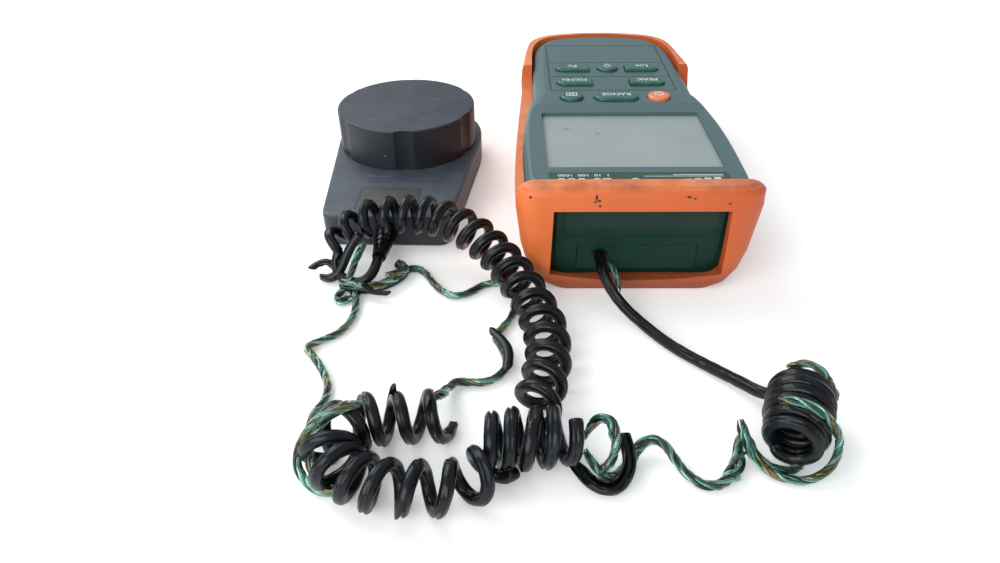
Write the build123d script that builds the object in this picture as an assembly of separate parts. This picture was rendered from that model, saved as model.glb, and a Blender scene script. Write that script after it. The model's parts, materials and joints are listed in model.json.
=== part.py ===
"""Handheld light meter in a rubber boot, with its sensor head on a worn curly lead.

Millimetres, +Z up. The meter lies on its back: the origin is the centre of the boot's flat
back, +Y runs along the meter towards the keypad end and -Y towards the lead end.
"""
from build123d import *
import math
import os

os.makedirs("parts", exist_ok=True)

# ---------------------------------------------------------------- driving dimensions
boot_near_y, boot_far_y = -78.4, 78.2      # ends of the rubber boot
boot_half_width = 39.5
boot_wall, boot_floor = 3.0, 4.6
boot_top, hook_top = 38.0, 37.2            # lip at the lead end, hooks at the keypad end
rail_top = 26.0                            # the boot's long sides stop here
slot_near_y, slot_far_y = -71.8, 33.0      # the low part of each long side
boot_fit = 0.1                             # clearance between boot and case
case_near_y, case_far_y = -75.3, 75.0      # the hard case inside the boot
case_half_width = 36.3
case_wall = 2.2
case_bottom, parting_z = boot_floor, 22.5
lcd_clear_z = 32.2                         # underside of the frame round the display
face_z, display_z = 37.3, 36.0             # keypad face, and the lower display face
fit_gap = 0.3                              # running gap round each key

window_half_x, window_y = 28.9, (-59.7, -15.6)
board_z = (26.0, 27.6)
key_top_z = 38.6

stand_hinge_y, stand_hinge_z = -32.0, 1.5
stand_pin_r, stand_pin_gap = 0.8, 0.05

sensor_place = Location((-82.85, 11.5, 0.0), (0, 0, -1.5))
sensor_height, sensor_parting = 12.7, 6.4
cap_radius, cap_top_z, cap_wall = 27.7, 28.9, 2.0
dome_radius = 20.0

jacket_d = 3.4                             # sleeve of the lead
wire_d = 2.4                               # bare twisted conductors
curl_d = 13.8                              # outside of the lead's coils
tight_coil_d = 17.2                        # outside of the wound coil at the meter end


# ---------------------------------------------------------------- helpers
def save(shape, node):
    """Write one sub-part."""
    shape = Compound(children=shape.solids()) if len(shape.solids()) > 1 else shape.solid()
    export_step(shape, f"parts/{node}.step")


def block(x, y, z, radius=0.0):
    """Box between two limits on each axis, its upright corners rounded."""
    plan = Pos((x[0] + x[1]) / 2, (y[0] + y[1]) / 2, z[0]) * (
        RectangleRounded(x[1] - x[0], y[1] - y[0], radius) if radius else Rectangle(x[1] - x[0], y[1] - y[0]))
    return extrude(plan, z[1] - z[0])


def post(x, y, z, radius):
    """Upright cylinder between two heights."""
    return extrude(Pos(x, y, z[0]) * Circle(radius), z[1] - z[0])


def outline(spans, width, y_limits, z):
    """Symmetrical closed face at height z.

    spans draw the right half from the near end to the far end, as (points, start direction,
    end direction), with x from 0 to 1 and y from 0 to 1. They are stretched to the given half
    width and between the two y limits, so every section of a shell has the same edges.
    """
    low, high = y_limits
    edges = []
    for side in (1, -1):
        for points, start, end in spans:
            placed = [(side * width * x, low + (high - low) * y) for x, y in points]
            if start is None:
                edges.append(Line(placed[0], placed[-1]))
            else:
                tangents = [(side * start[0], start[1]), (side * end[0], end[1])]
                edges.append(Spline(*placed, tangents=tangents))
    return Pos(0, 0, z) * make_face(edges)


def stack(spans, width, y_limits, sections, wall=0.0):
    """Solid through sections of (height, side inset, near inset, far inset)."""
    faces = []
    for z, inset, near, far in sections:
        limits = (y_limits[0] + near + wall, y_limits[1] - far - wall)
        faces.append(outline(spans, width - inset - wall, limits, z))
    return loft(faces, ruled=True)


def tube(points, diameter, name):
    """Round cord along straight runs joined by the largest tangent arcs that fit."""
    pts = [Vector(*p) for p in points]
    radii = []
    for before, here, after in zip(pts, pts[1:], pts[2:]):
        run_in, run_out = here - before, after - here
        turn = math.radians(run_in.get_angle(run_out))
        radii.append(0.45 * min(run_in.length, run_out.length) / math.tan(turn / 2))
    path = FilletPolyline(*pts, radius=radii)
    section = Plane(origin=pts[0], z_dir=pts[1] - pts[0]) * Circle(diameter / 2)
    solid = sweep(section, path=path.wire())
    share = solid.volume / (math.pi * diameter ** 2 / 4 * path.wire().length)
    print(f"{name}: length {path.wire().length:.0f}, volume share {share:.3f}, "
          f"radii {[round(r, 1) for r in radii]}")
    return solid


def straight_span(start, end):
    return ([start, end], None, None)


# ---------------------------------------------------------------- outlines (0..1, 0..1)
boot_spans = [
    straight_span((0.0, 0.0), (0.72, 0.0)),
    ([(0.72, 0.0), (0.93, 0.018), (0.995, 0.075)], (1, 0), (0.03, 1)),
    ([(0.995, 0.075), (1.0, 0.17), (0.975, 0.38), (0.93, 0.60), (0.875, 0.79), (0.835, 0.885)],
     (0.03, 1), (-0.12, 1)),
    ([(0.835, 0.885), (0.745, 0.945), (0.56, 0.979), (0.28, 0.995), (0.0, 1.0)], (-0.12, 1), (-1, 0)),
]
case_spans = [
    straight_span((0.0, 0.0), (0.72, 0.0)),
    ([(0.72, 0.0), (0.92, 0.018), (0.99, 0.075)], (1, 0), (0.02, 1)),
    ([(0.99, 0.075), (1.0, 0.19), (0.98, 0.35), (0.945, 0.435), (0.888, 0.50)], (0.02, 1), (-0.5, 1)),
    ([(0.888, 0.50), (0.867, 0.55), (0.858, 0.68), (0.845, 0.82), (0.77, 0.92), (0.65, 0.962),
      (0.33, 0.991), (0.0, 1.0)], (-0.5, 1), (-1, 0)),
]
sensor_spans = [
    straight_span((0.0, 0.0), (0.62, 0.0)),
    ([(0.62, 0.0), (0.745, 0.02), (0.792, 0.075)], (1, 0), (0.105, 1)),
    straight_span((0.792, 0.075), (0.943, 0.52)),
    ([(0.943, 0.52), (0.99, 0.66), (0.985, 0.77), (0.87, 0.875), (0.50, 0.972), (0.0, 1.0)],
     (0.105, 1), (-1, 0)),
]

boot_sections = [(0.0, 10.5, 1.8, 6.0), (2.5, 7.0, 0.5, 4.2), (7.0, 4.0, 0.1, 2.4),
                 (14.0, 2.0, 0.0, 1.0), (30.0, 0.0, 0.0, 0.0), (35.0, 0.3, 0.2, 0.4),
                 (36.9, 1.1, 0.8, 1.1), (boot_top, 2.4, 2.0, 2.4)]
cavity_sections = [(boot_floor, 6.4, 1.4, 4.4), (7.0, 4.8, 0.8, 3.0), (14.0, 2.5, 0.2, 1.6),
                   (22.5, 1.2, 0.1, 0.9), (30.0, 0.1, 0.0, 0.2), (36.2, 0.1, 0.0, 0.2)]
rear_sections = [(case_bottom, 6.4, 1.4, 4.4), (7.0, 4.8, 0.8, 3.0), (14.0, 2.5, 0.2, 1.6),
                 (parting_z, 1.2, 0.1, 0.9)]
front_sections = [(parting_z, 1.2, 0.1, 0.9), (30.0, 0.2, 0.05, 0.3), (33.0, 0.4, 0.3, 0.6),
                  (35.4, 1.5, 1.2, 1.7), (36.7, 3.2, 2.6, 3.2), (face_z, 5.6, 4.6, 5.2)]


# ---------------------------------------------------------------- rubber boot and stand
def side_slot(y_limits, z_low, radius):
    """Cutter across the whole width that lowers the boot's sides between two y limits."""
    z_high = boot_top + 10
    profile = Plane.YZ * Pos((y_limits[0] + y_limits[1]) / 2, (z_low + z_high) / 2) * RectangleRounded(
        y_limits[1] - y_limits[0], z_high - z_low, radius)
    return extrude(profile, 60, both=True)


def lead_window():
    """Opening in the boot's near end, with a bowed lower edge that is undercut from behind."""
    top, low, mid = 30.3, 6.6, 4.2
    edge_thickness, undercut, wall_depth = 0.9, 1.6, 6.0
    cutter = None
    for drop, depth in ((0.0, 12.0), (undercut, wall_depth - edge_thickness)):
        edges = [Line((-27.2, top), (27.2, top)), Line((27.2, top), (27.8, low - drop)),
                 ThreePointArc((27.8, low - drop), (0.0, mid - drop), (-27.8, low - drop)),
                 Line((-27.8, low - drop), (-27.2, top))]
        step = extrude(Plane.XZ.offset(-boot_near_y - wall_depth) * make_face(edges), depth)
        cutter = step if cutter is None else cutter + step
    return cutter


def lip_corners():
    """Cutter that rounds the lip's two upper corners."""
    corner_r = 7.0
    rounded = extrude(Plane.XZ * RectangleRounded(2 * boot_half_width, 2 * boot_top, corner_r), 100, both=True)
    return block((-45, 45), (-82, slot_near_y + 4), (rail_top, boot_top + 5)) - rounded


def face_opening():
    """Opening above the case: it follows the case's edge, so the hooks only border the face."""
    plan = outline(case_spans, case_half_width + boot_fit, (case_near_y, case_far_y), 30.0)
    return extrude(plan, 20) & block((-60, 60), (slot_near_y, 90), (30.0, 50.0))


def stand_outline(grow):
    """U-shaped bail lying in the boot's back, open towards the hinge."""
    outer = block((-22 - grow, 22 + grow), (stand_hinge_y - grow, 27 + grow), (-1, 4), 5)
    inner = block((-15.5 + grow, 15.5 - grow), (stand_hinge_y - 10, 20.5 - grow), (-2, 5), 3)
    return outer - inner


def protective_boot():
    shell = stack(boot_spans, boot_half_width, (boot_near_y, boot_far_y), boot_sections)
    shell -= stack(case_spans, case_half_width, (case_near_y, case_far_y), cavity_sections, -boot_fit)
    shell -= side_slot((slot_near_y, slot_far_y), rail_top, 7.0)
    shell -= block((-60, 60), (slot_far_y - 5, 90), (hook_top, 60))
    shell -= face_opening()
    shell -= lead_window()
    shell -= lip_corners()
    recess_top = 3.2
    shell -= stand_outline(0.6) & block((-40, 40), (-60, 60), (-1, recess_top))
    for side in (1, -1):
        shell -= block(sorted((side * 14.9, side * 22.6)), (stand_hinge_y - 2.4, stand_hinge_y + 6), (-1, recess_top))
    pin_hole = Pos(-26, stand_hinge_y, stand_hinge_z) * Rot(0, 90, 0) * Cylinder(
        stand_pin_r, 52, align=(Align.CENTER, Align.CENTER, Align.MIN))
    return shell - pin_hole


def tilt_stand():
    """Bail with a rolled eye on each leg round the hinge pin."""
    eye_r, thickness = 1.4, 2.5
    bail = stand_outline(0.0) & block((-40, 40), (stand_hinge_y, 60), (0.25, 0.25 + thickness))
    for side in (1, -1):
        eye = Pos(side * 18.75, stand_hinge_y, stand_hinge_z) * Rot(0, 90, 0) * Cylinder(eye_r, 6.5)
        bail += eye
    bore = Pos(0, stand_hinge_y, stand_hinge_z) * Rot(0, 90, 0) * Cylinder(stand_pin_r + stand_pin_gap, 60)
    return bail - bore


def stand_hinge_pin():
    return Pos(0, stand_hinge_y, stand_hinge_z) * Rot(0, 90, 0) * Cylinder(stand_pin_r, 52)


# ---------------------------------------------------------------- keys
# name: (centre x, centre y, half width, half depth, shape)
key_table = {
    "key_footcandle": (-14.6, 26.7, 6.8, 3.4, "left"),
    "key_zero": (0.0, 27.0, 4.1, 4.0, "round"),
    "key_lux": (14.1, 26.7, 6.8, 3.4, "right"),
    "key_max_min": (-14.8, 11.0, 6.9, 3.5, "left"),
    "key_peak": (14.1, 11.0, 6.8, 3.5, "right"),
    "key_hold": (-17.0, -4.4, 4.3, 4.1, "round"),
    "key_range": (0.0, -4.5, 8.3, 4.0, "oval"),
    "key_power": (16.3, -4.4, 4.1, 4.1, "round"),
}


def key_face(key, grow):
    """Plan of a key: round, oval, or D-shaped with its round end away from the middle."""
    x, y, half_x, half_y, shape = key
    half_x, half_y = half_x + grow, half_y + grow
    if shape == "round":
        return Pos(x, y) * Ellipse(half_x, half_y)
    if shape == "oval":
        return Pos(x, y) * RectangleRounded(2 * half_x, 2 * half_y, half_y * 0.96)
    side = -1 if shape == "left" else 1
    blunt, bulge = -side * half_x, side * (half_x - half_y)
    edges = [Line((blunt, -half_y), (bulge, -half_y)),
             ThreePointArc((bulge, -half_y), (side * half_x, 0), (bulge, half_y)),
             Line((bulge, half_y), (blunt, half_y)), Line((blunt, half_y), (blunt, -half_y))]
    return Pos(x, y) * make_face(edges)


def key(name):
    """Rubber key: a domed button over a wider retaining flange."""
    stem = extrude(Pos(0, 0, 32.5) * key_face(key_table[name], 0.0), key_top_z - 32.5)
    stem = fillet(stem.faces().sort_by(Axis.Z)[-1].edges(), 0.75)
    return stem + extrude(Pos(0, 0, 32.5) * key_face(key_table[name], 0.9), 1.2)


# ---------------------------------------------------------------- hard case
door_screw_y = 60.8
screw_spots = [(-25.8, -66.4), (25.8, -66.4), (-21.3, 51.0), (21.3, 51.0)]
board_spots = [(-26.6, -12.9), (26.6, -12.9), (-21.5, 39.5), (21.5, 39.5)]


def end_shoulders(z_limits):
    """Steps either side of the lead end's flat panel."""
    parts = [block(x, (case_near_y - 2, case_near_y + 1.6), z_limits) for x in ((26.1, 45), (-45, -26.1))]
    return parts[0] + parts[1]


def front_housing():
    """Upper shell: face, display window frame, key holes and the panel's fine grooves."""
    ends = (case_near_y, case_far_y)
    shell = stack(case_spans, case_half_width, ends, front_sections)
    inner = [(parting_z - 1, 1.3, 0.1, 0.9), (30.0, 0.2, 0.05, 0.3), (33.0, 0.4, 0.3, 0.6),
             (face_z - case_wall, 2.6, 1.6, 2.4)]
    shell -= stack(case_spans, case_half_width, ends, inner, case_wall)
    ramp = make_face(Polyline((-90, display_z), (-13.4, display_z), (-9.4, face_z), (-9.4, 50),
                              (-90, 50), close=True))
    shell -= extrude(Plane.YZ * ramp, 60, both=True)
    shell += block((-31.5, 31.5), (-62.5, -14.6), (lcd_clear_z, display_z - 0.6), 3)
    rim_top = display_z - 1.3
    shell -= block((-window_half_x, window_half_x), window_y, (rim_top - 1.6, 45), 1.0)
    shell -= block((-26.4, 26.4), (window_y[0] + 1.7, window_y[1] - 1.7), (25, 45), 1.0)
    for name in key_table:
        shell -= extrude(Pos(0, 0, 25) * key_face(key_table[name], fit_gap), 25)
    for x in (-24.4, 24.4):
        shell -= block((x - 0.3, x + 0.3), (3.0, 57.6), (face_z - 0.5, 45))
    for y in (3.3, 18.3, 34.9, 57.3):
        shell -= block((-24.4, 24.4), (y - 0.3, y + 0.3), (face_z - 0.5, 45))
    shell -= block((-28.4, 28.4), (-72.6, -63.4), (display_z - 0.5, 45), 0.8)
    for x, y in screw_spots:
        shell += post(x, y, (parting_z, face_z - case_wall + 0.2), 3.2)
        shell -= post(x, y, (parting_z - 1, 31.5), 1.4)
    for x, y in board_spots:
        shell += post(x, y, (board_z[1], face_z - case_wall + 0.2), 2.4)
        shell -= post(x, y, (board_z[1] - 1, 31.0), 1.0)
    return shell - end_shoulders((parting_z, 30.0))


def rear_housing():
    """Lower shell: battery bay with its own hatch, screw posts and the lead's exit."""
    ends = (case_near_y, case_far_y)
    shell = stack(case_spans, case_half_width, ends, rear_sections)
    floor = case_bottom + case_wall
    inner = [(floor, 5.0, 1.0, 3.2), (14.0, 2.5, 0.2, 1.6), (parting_z + 0.01, 1.2, 0.1, 0.9)]
    shell -= stack(case_spans, case_half_width, ends, inner, case_wall)
    shell -= block((-16.0, 16.0), (7.0, 63.0), (0, floor + 1), 2)
    shell -= block((-17.4, 17.4), (5.5, 64.5), (0, case_bottom + 1.5), 3)
    for x in (-16.4, 14.9):
        shell += block((x, x + 1.5), (6.0, 62.5), (floor - 0.2, 21.0))
    for x, y in screw_spots:
        shell += post(x, y, (case_bottom, parting_z), 3.5)
        shell -= post(x, y, (case_bottom - 1, case_bottom + 3.0), 2.9)
        shell -= post(x, y, (case_bottom, parting_z + 1), 1.5)
    shell -= block((-19.2, 19.4), (case_near_y - 2, case_near_y + 1.5), (7.2, 16.2))
    shell -= Pos(-11.8, case_near_y, 12.2) * Rot(90, 0, 0) * Cylinder(3.4, 20)
    return shell - end_shoulders((case_bottom + 1, parting_z))


def display_window():
    """Clear lens set just below the display face, gently crowned from side to side."""
    top = display_z - 1.3
    lens = block((-window_half_x + 0.1, window_half_x - 0.1),
                 (window_y[0] + 0.1, window_y[1] - 0.1), (top - 1.6, top), 0.9)
    return lens


def lcd_panel():
    """Glass display cell with its polariser and a step for the contact edge."""
    cell = block((-26.0, 26.0), (-57.5, -21.0), (29.6, 31.6), 0.4)
    return cell + block((-24.5, 24.5), (-55.0, -23.5), (31.6, 32.0), 0.4)


def lcd_frame():
    """Moulded frame that holds the display cell to the board."""
    frame = block((-27.6, 27.6), (-59.4, -19.2), (board_z[1], 31.7), 1.0)
    return frame - block((-26.1, 26.1), (-57.6, -20.9), (board_z[1] - 1, 33), 0.4)


def zebra_connectors():
    """Two striped rubber strips between the board and the display cell."""
    return (block((-25.0, 25.0), (-57.2, -54.6), (board_z[1], 29.6))
            + block((-25.0, 25.0), (-23.8, -21.2), (board_z[1], 29.6)))


def main_board():
    board = block((-28.0, 28.0), (-61.8, 6.0), board_z, 2) + block((-25.4, 25.4), (0.0, 45.0), board_z, 2)
    for x, y in board_spots:
        board -= post(x, y, (20, 30), 1.1)
    return board


def board_components():
    """Measuring chip, converter, capacitors, crystal and trimmer under the board."""
    low, high = 21.6, board_z[0]
    pieces = block((-9, 9), (-50, -32), (high - 2.6, high), 0.4)
    pieces += block((13, 20), (-42, -33), (high - 1.8, high), 0.3)
    for index in range(4):
        pieces += post(-20 + 5.4 * index, -18.0, (low, high), 2.1)
    pieces += block((8, 18), (-22, -18), (high - 3.4, high), 1.5)
    return pieces + block((19, 25), (-10, -4), (high - 4.0, high), 0.3)


def keypad_mat():
    """Silicone mat with a dome under each key."""
    mat = block((-25.0, 25.0), (-11.5, 34.0), (28.2, 30.2), 2)
    for name in key_table:
        mat += extrude(Pos(0, 0, 30.2) * key_face(key_table[name], -0.8), 1.2)
    return mat


def buzzer():
    x, y = -19.5, -4.5
    can = post(x, y, (board_z[0] - 6.5, board_z[0]), 5.8)
    return can - post(x, y, (board_z[0] - 8, board_z[0] - 5), 1.2)


def screws(spots, z_limits, shank, head, head_height, head_down=True):
    """Cross-head screws standing at the given spots, heads at the bottom or top."""
    group = None
    for x, y in spots:
        low, high = z_limits
        head_z = (low, low + head_height) if head_down else (high - head_height, high)
        screw = post(x, y, z_limits, shank) + post(x, y, head_z, head)
        tip = low if head_down else high
        slot = block((x - head * 0.6, x + head * 0.6), (y - 0.3, y + 0.3), (tip - 0.8, tip + 0.8))
        cross = block((x - 0.3, x + 0.3), (y - head * 0.6, y + head * 0.6), (tip - 0.8, tip + 0.8))
        screw = screw - slot - cross
        group = screw if group is None else group + screw
    return group


def battery_9v():
    """Block battery lying on its broad side, terminals towards the middle of the meter."""
    case = block((-13.2, 13.2), (14.0, 59.5), (7.2, 24.4), 1.2)
    terminals = None
    for x, radius in ((-6.4, 3.2), (6.4, 3.9)):
        stud = Pos(x, 12.8, 15.8) * Rot(90, 0, 0) * Cylinder(radius, 2.4)
        terminals = stud if terminals is None else terminals + stud
    return case + terminals


def battery_snap():
    """Snap cap over the battery's two terminals."""
    return block((-12.6, 12.6), (8.2, 11.5), (9.8, 21.8), 0.8)


def battery_wires():
    """Two wires from the snap cap up to the board."""
    pair = None
    for x, name in ((-5.0, "battery wire a"), (5.0, "battery wire b")):
        route = [(x, 8.2, 16.0), (x, 4.8, 16.0), (x + 0.4, 1.8, 18.4), (x, 0.6, 22.4), (x, 0.6, board_z[0])]
        wire = tube(route, 1.2, name)
        pair = wire if pair is None else pair + wire
    return pair


def battery_door():
    """Hatch that closes the battery bay from the back, with a finger ridge."""
    top = case_bottom + 1.5
    door = block((-17.2, 17.2), (5.7, 64.3), (case_bottom, top), 2.8)
    door += block((-14.6, 14.6), (7.4, 57.0), (top, top + 0.9), 1.8)
    for y in (53.0, 55.5, 58.0):
        door -= block((-8, 8), (y - 0.4, y + 0.4), (case_bottom - 1, case_bottom + 0.5))
    return door - post(0, door_screw_y, (0, 10), 1.6) - post(0, door_screw_y, (0, case_bottom + 0.8), 2.8)


def door_screw():
    return screws([(0, door_screw_y)], (case_bottom, 6.9), 1.5, 2.7, 0.7)


def name_plate():
    """Thin plate let into the face above the display, running under the boot's lip."""
    return block((-28.3, 28.3), (-72.5, -63.5), (display_z - 0.5, display_z - 0.05), 0.7)


def lead_end_plate():
    """Blanking plate of the lead end, with the hole for the lead's bush."""
    plate = Pos(0.1, 0, 0) * block((-19.1, 19.1), (case_near_y + 0.1, case_near_y + 1.4), (7.3, 16.1))
    return plate - Pos(-11.8, case_near_y, 12.2) * Rot(90, 0, 0) * Cylinder(2.6, 10)


def lead_bush():
    """Soft bush that the lead comes out of."""
    bush = Pos(-11.8, case_near_y + 2.0, 12.2) * Rot(90, 0, 0) * Cylinder(2.55, 5.0)
    flange = Pos(-11.8, case_near_y + 4.2, 12.2) * Rot(90, 0, 0) * Cylinder(3.3, 1.6)
    return bush + flange


# ---------------------------------------------------------------- sensor head
sensor_ends = (-62.5, 34.5)
sensor_half = 30.0
sensor_screw_spots = [(-17.0, -54.5), (17.0, -54.5), (-19.0, 18.5), (19.0, 18.5)]


def sensor_shell(sections, wall_sections):
    shell = stack(sensor_spans, sensor_half, sensor_ends, sections)
    return shell - stack(sensor_spans, sensor_half, sensor_ends, wall_sections, 1.8)


def sensor_top_shell():
    """Upper shell with the round seat of the diffuser ring and a recess for the rating plate."""
    high = sensor_height
    shell = sensor_shell([(sensor_parting, 0, 0, 0), (high - 1.1, 0, 0, 0), (high - 0.3, 0.35, 0.35, 0.35),
                          (high, 1.1, 1.1, 1.1)],
                         [(sensor_parting - 1, 0, 0, 0), (high - 1.8, 0, 0, 0)])
    shell -= post(0, 0, (0, 30), 21.0)
    shell -= block((-12.0, 10.4), (-58.0, -41.6), (high - 0.4, 20), 0.5)
    shell -= Pos(0, sensor_ends[0], sensor_parting) * Rot(90, 0, 0) * Cylinder(4.2, 12)
    return shell


def sensor_bottom_shell():
    """Lower shell with four screw posts and a shallow foot rim."""
    shell = sensor_shell([(0, 1.2, 1.0, 1.2), (1.2, 0.1, 0.1, 0.1), (sensor_parting, 0, 0, 0)],
                         [(1.8, 0, 0, 0), (sensor_parting + 1, 0, 0, 0)])
    for x, y in sensor_screw_spots:
        shell += post(x, y, (1.0, sensor_parting), 3.0)
        shell -= post(x, y, (-1, 2.0), 2.4)
        shell -= post(x, y, (0, sensor_parting + 1), 1.2)
    return shell - Pos(0, sensor_ends[0], sensor_parting) * Rot(90, 0, 0) * Cylinder(4.2, 12)


def dome_ring():
    """Ring that clamps the diffuser to the shell and carries the cap."""
    ring = post(0, 0, (sensor_height, 18.6), 24.0) + post(0, 0, (9.0, sensor_height), 20.9)
    ring -= post(0, 0, (0, 30), 19.0)
    ring = chamfer(ring.faces().sort_by(Axis.Z)[-1].edges().sort_by(SortBy.LENGTH)[-1:], 0.8)
    return ring - post(0, 0, (15.0, 16.2), dome_radius)


def diffuser_dome():
    """White dome, a spherical cap on a short flange."""
    rise = 10.2
    ball = (18.8 ** 2 + rise ** 2) / (2 * rise)
    dome = Pos(0, 0, 16.2 + rise - ball) * Sphere(ball) & post(0, 0, (16.2, 40), 18.8)
    inner = Pos(0, 0, 16.2 + rise - ball) * Sphere(ball - 1.6)
    flange = post(0, 0, (15.0, 16.2), 19.95) - post(0, 0, (14, 17), 16.5)
    return (dome - inner) + flange


def spectral_filter():
    """Green glass disc that gives the photocell the eye's response."""
    return post(0, 0, (12.4, 14.2), 7.0)


def photocell():
    """Silicon cell in a round can, standing on the sensor board."""
    return post(0, 0, (8.4, 12.3), 6.0) + post(0, 0, (7.4, 8.4), 7.2)


def sensor_board():
    return block((-13.0, 13.0), (-14.0, 14.0), (5.8, 7.4), 1.5)


def board_standoffs():
    """Four spacers between the lower shell and the sensor board."""
    group = None
    for x in (-10.5, 10.5):
        for y in (-11.5, 11.5):
            spacer = post(x, y, (1.8, 5.8), 1.6)
            group = spacer if group is None else group + spacer
    return group


def rating_plate():
    return block((-11.8, 10.2), (-57.8, -41.8), (sensor_height - 0.4, sensor_height + 0.05), 0.4)


def strain_relief():
    """Tapered rubber relief where the lead leaves the sensor head."""
    y0 = sensor_ends[0]
    flange = Pos(0, y0 + 2.9, sensor_parting) * Rot(90, 0, 0) * Cylinder(4.5, 2.0)
    neck = Pos(0, y0 + 0.9, sensor_parting) * Rot(90, 0, 0) * Cylinder(4.1, 3.0)
    cone = Pos(0, y0 - 8.3, sensor_parting) * Rot(90, 0, 0) * Cone(4.1, 2.3, 16.4)
    body = flange + neck + cone
    for step in range(4):
        y = y0 - 4.0 - 2.8 * step
        body -= Pos(0, y, sensor_parting) * Rot(90, 0, 0) * (Cylinder(6, 0.9) - Cylinder(3.3 - 0.3 * step, 0.9))
    return body


def sensor_cap():
    """Push-on cover: a deep lid with six shallow finger scallops round its rim."""
    low = sensor_height + 0.15
    lid = post(0, 0, (low, cap_top_z), cap_radius)
    lid = fillet(lid.faces().sort_by(Axis.Z)[-1].edges(), 0.7)
    scallop_r = 13.0
    for index in range(6):
        angle = math.radians(-85 + 60 * index)
        reach = cap_radius + scallop_r - 0.8
        lid -= post(reach * math.cos(angle), reach * math.sin(angle), (low - 1, cap_top_z + 1), scallop_r)
    return lid - post(0, 0, (low - 1, cap_top_z - cap_wall), 24.3)


# ---------------------------------------------------------------- the lead
straight_lead = [(-11.8, -75.8, 12.2), (-11.8, -80.4, 12.2), (-11.0, -84.6, 10.4), (-8.6, -88.6, 7.2),
                 (-5.0, -92.6, 4.2), (-0.6, -97.0, 2.4), (4.6, -104.0, 1.8), (10.6, -112.2, 1.8),
                 (17.0, -119.6, 1.9), (22.6, -125.4, 2.2), (26.4, -129.4, 3.2)]
meter_coil = [(30.6, -131.4, 8.7), (31.8, -138.0, 8.7), (32.2, -145.0, 8.7), (31.6, -152.0, 8.7)]
right_wires = [(30.8, -152.6, 2.4), (26.8, -154.3, 1.5), (22.9, -152.8, 1.5), (19.9, -150.0, 2.6),
               (18.2, -145.8, 4.6), (16.6, -146.2, 4.8), (15.1, -151.4, 2.6), (12.4, -156.0, 1.5),
               (7.6, -158.6, 1.3), (3.6, -156.6, 1.5), (0.3, -152.6, 2.4), (-2.2, -147.6, 4.6),
               (-6.0, -145.8, 4.6), (-9.4, -148.6, 2.6), (-12.4, -153.6, 1.5), (-16.6, -156.6, 1.4),
               (-20.0, -153.4, 2.2), (-22.4, -149.6, 4.4)]
split_sleeve = [(-13.2, -147.4, 8.6), (-11.6, -151.6, 6.2), (-12.2, -156.0, 3.2), (-15.6, -159.6, 1.8),
                (-20.0, -158.8, 1.7), (-23.4, -154.8, 1.9), (-25.6, -150.8, 3.2)]
middle_coil = [(-25.0, -148.4, 8.0), (-32.0, -149.6, 8.0), (-40.0, -149.0, 8.0), (-47.6, -150.4, 8.0)]
arch_axis = [(-91.0, -62.6, 15.6), (-87.4, -59.6, 17.2), (-82.0, -58.6, 17.8), (-75.2, -58.2, 17.8),
             (-68.4, -58.4, 17.6), (-61.6, -60.6, 16.6), (-55.0, -64.4, 15.2), (-48.6, -69.6, 13.0),
             (-42.6, -76.6, 10.6), (-37.6, -85.2, 8.6), (-33.6, -94.4, 7.4), (-30.6, -104.2, 7.1),
             (-29.6, -114.2, 7.0), (-30.6, -124.0, 7.0), (-33.0, -133.0, 7.0), (-34.6, -140.6, 7.4)]
loop_axis = [(-43.0, -154.6, 7.3), (-48.6, -161.0, 7.1), (-57.0, -163.9, 7.1), (-66.0, -163.7, 7.1),
             (-75.0, -161.6, 7.2), (-82.6, -157.4, 7.8), (-85.0, -149.8, 8.0), (-80.0, -143.0, 7.4),
             (-72.0, -141.4, 7.1), (-63.6, -140.8, 7.1), (-55.6, -141.8, 7.1)]
sensor_tail = [(-84.95, -67.9, 6.4), (-85.3, -71.4, 6.4), (-88.0, -75.6, 4.2), (-92.6, -77.6, 2.4),
               (-97.4, -74.8, 3.2), (-98.4, -69.8, 6.2), (-96.0, -66.0, 10.4), (-92.6, -63.6, 14.2)]
left_wires = [(-92.0, -76.0, 1.5), (-91.0, -81.6, 1.4), (-89.6, -88.4, 1.4), (-90.0, -95.0, 1.4),
              (-92.6, -101.4, 1.4), (-98.0, -105.0, 1.4), (-101.6, -107.6, 1.4), (-98.6, -111.6, 1.4),
              (-94.6, -117.0, 1.4), (-91.4, -123.4, 1.4), (-90.8, -130.0, 1.4), (-93.4, -135.4, 1.5),
              (-92.8, -141.2, 2.0), (-90.2, -146.0, 3.2)]
middle_wires = [(-82.4, -72.6, 2.6), (-77.8, -70.2, 1.6), (-73.6, -66.2, 1.4), (-69.6, -68.6, 1.4),
                (-66.4, -75.0, 1.4), (-62.6, -80.6, 1.4), (-57.8, -83.2, 1.4), (-53.0, -80.2, 1.4),
                (-49.4, -76.0, 1.4), (-44.0, -75.2, 1.4), (-40.0, -79.6, 1.4), (-38.6, -86.4, 1.4),
                (-40.0, -93.8, 1.4), (-43.4, -99.4, 1.4), (-45.6, -102.6, 1.4), (-43.4, -107.2, 1.4),
                (-41.4, -113.0, 1.4), (-42.2, -118.6, 1.4), (-46.2, -122.4, 1.4), (-51.4, -122.8, 1.4),
                (-56.0, -122.4, 1.5), (-57.6, -126.2, 2.4), (-57.0, -131.0, 4.0)]

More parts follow.
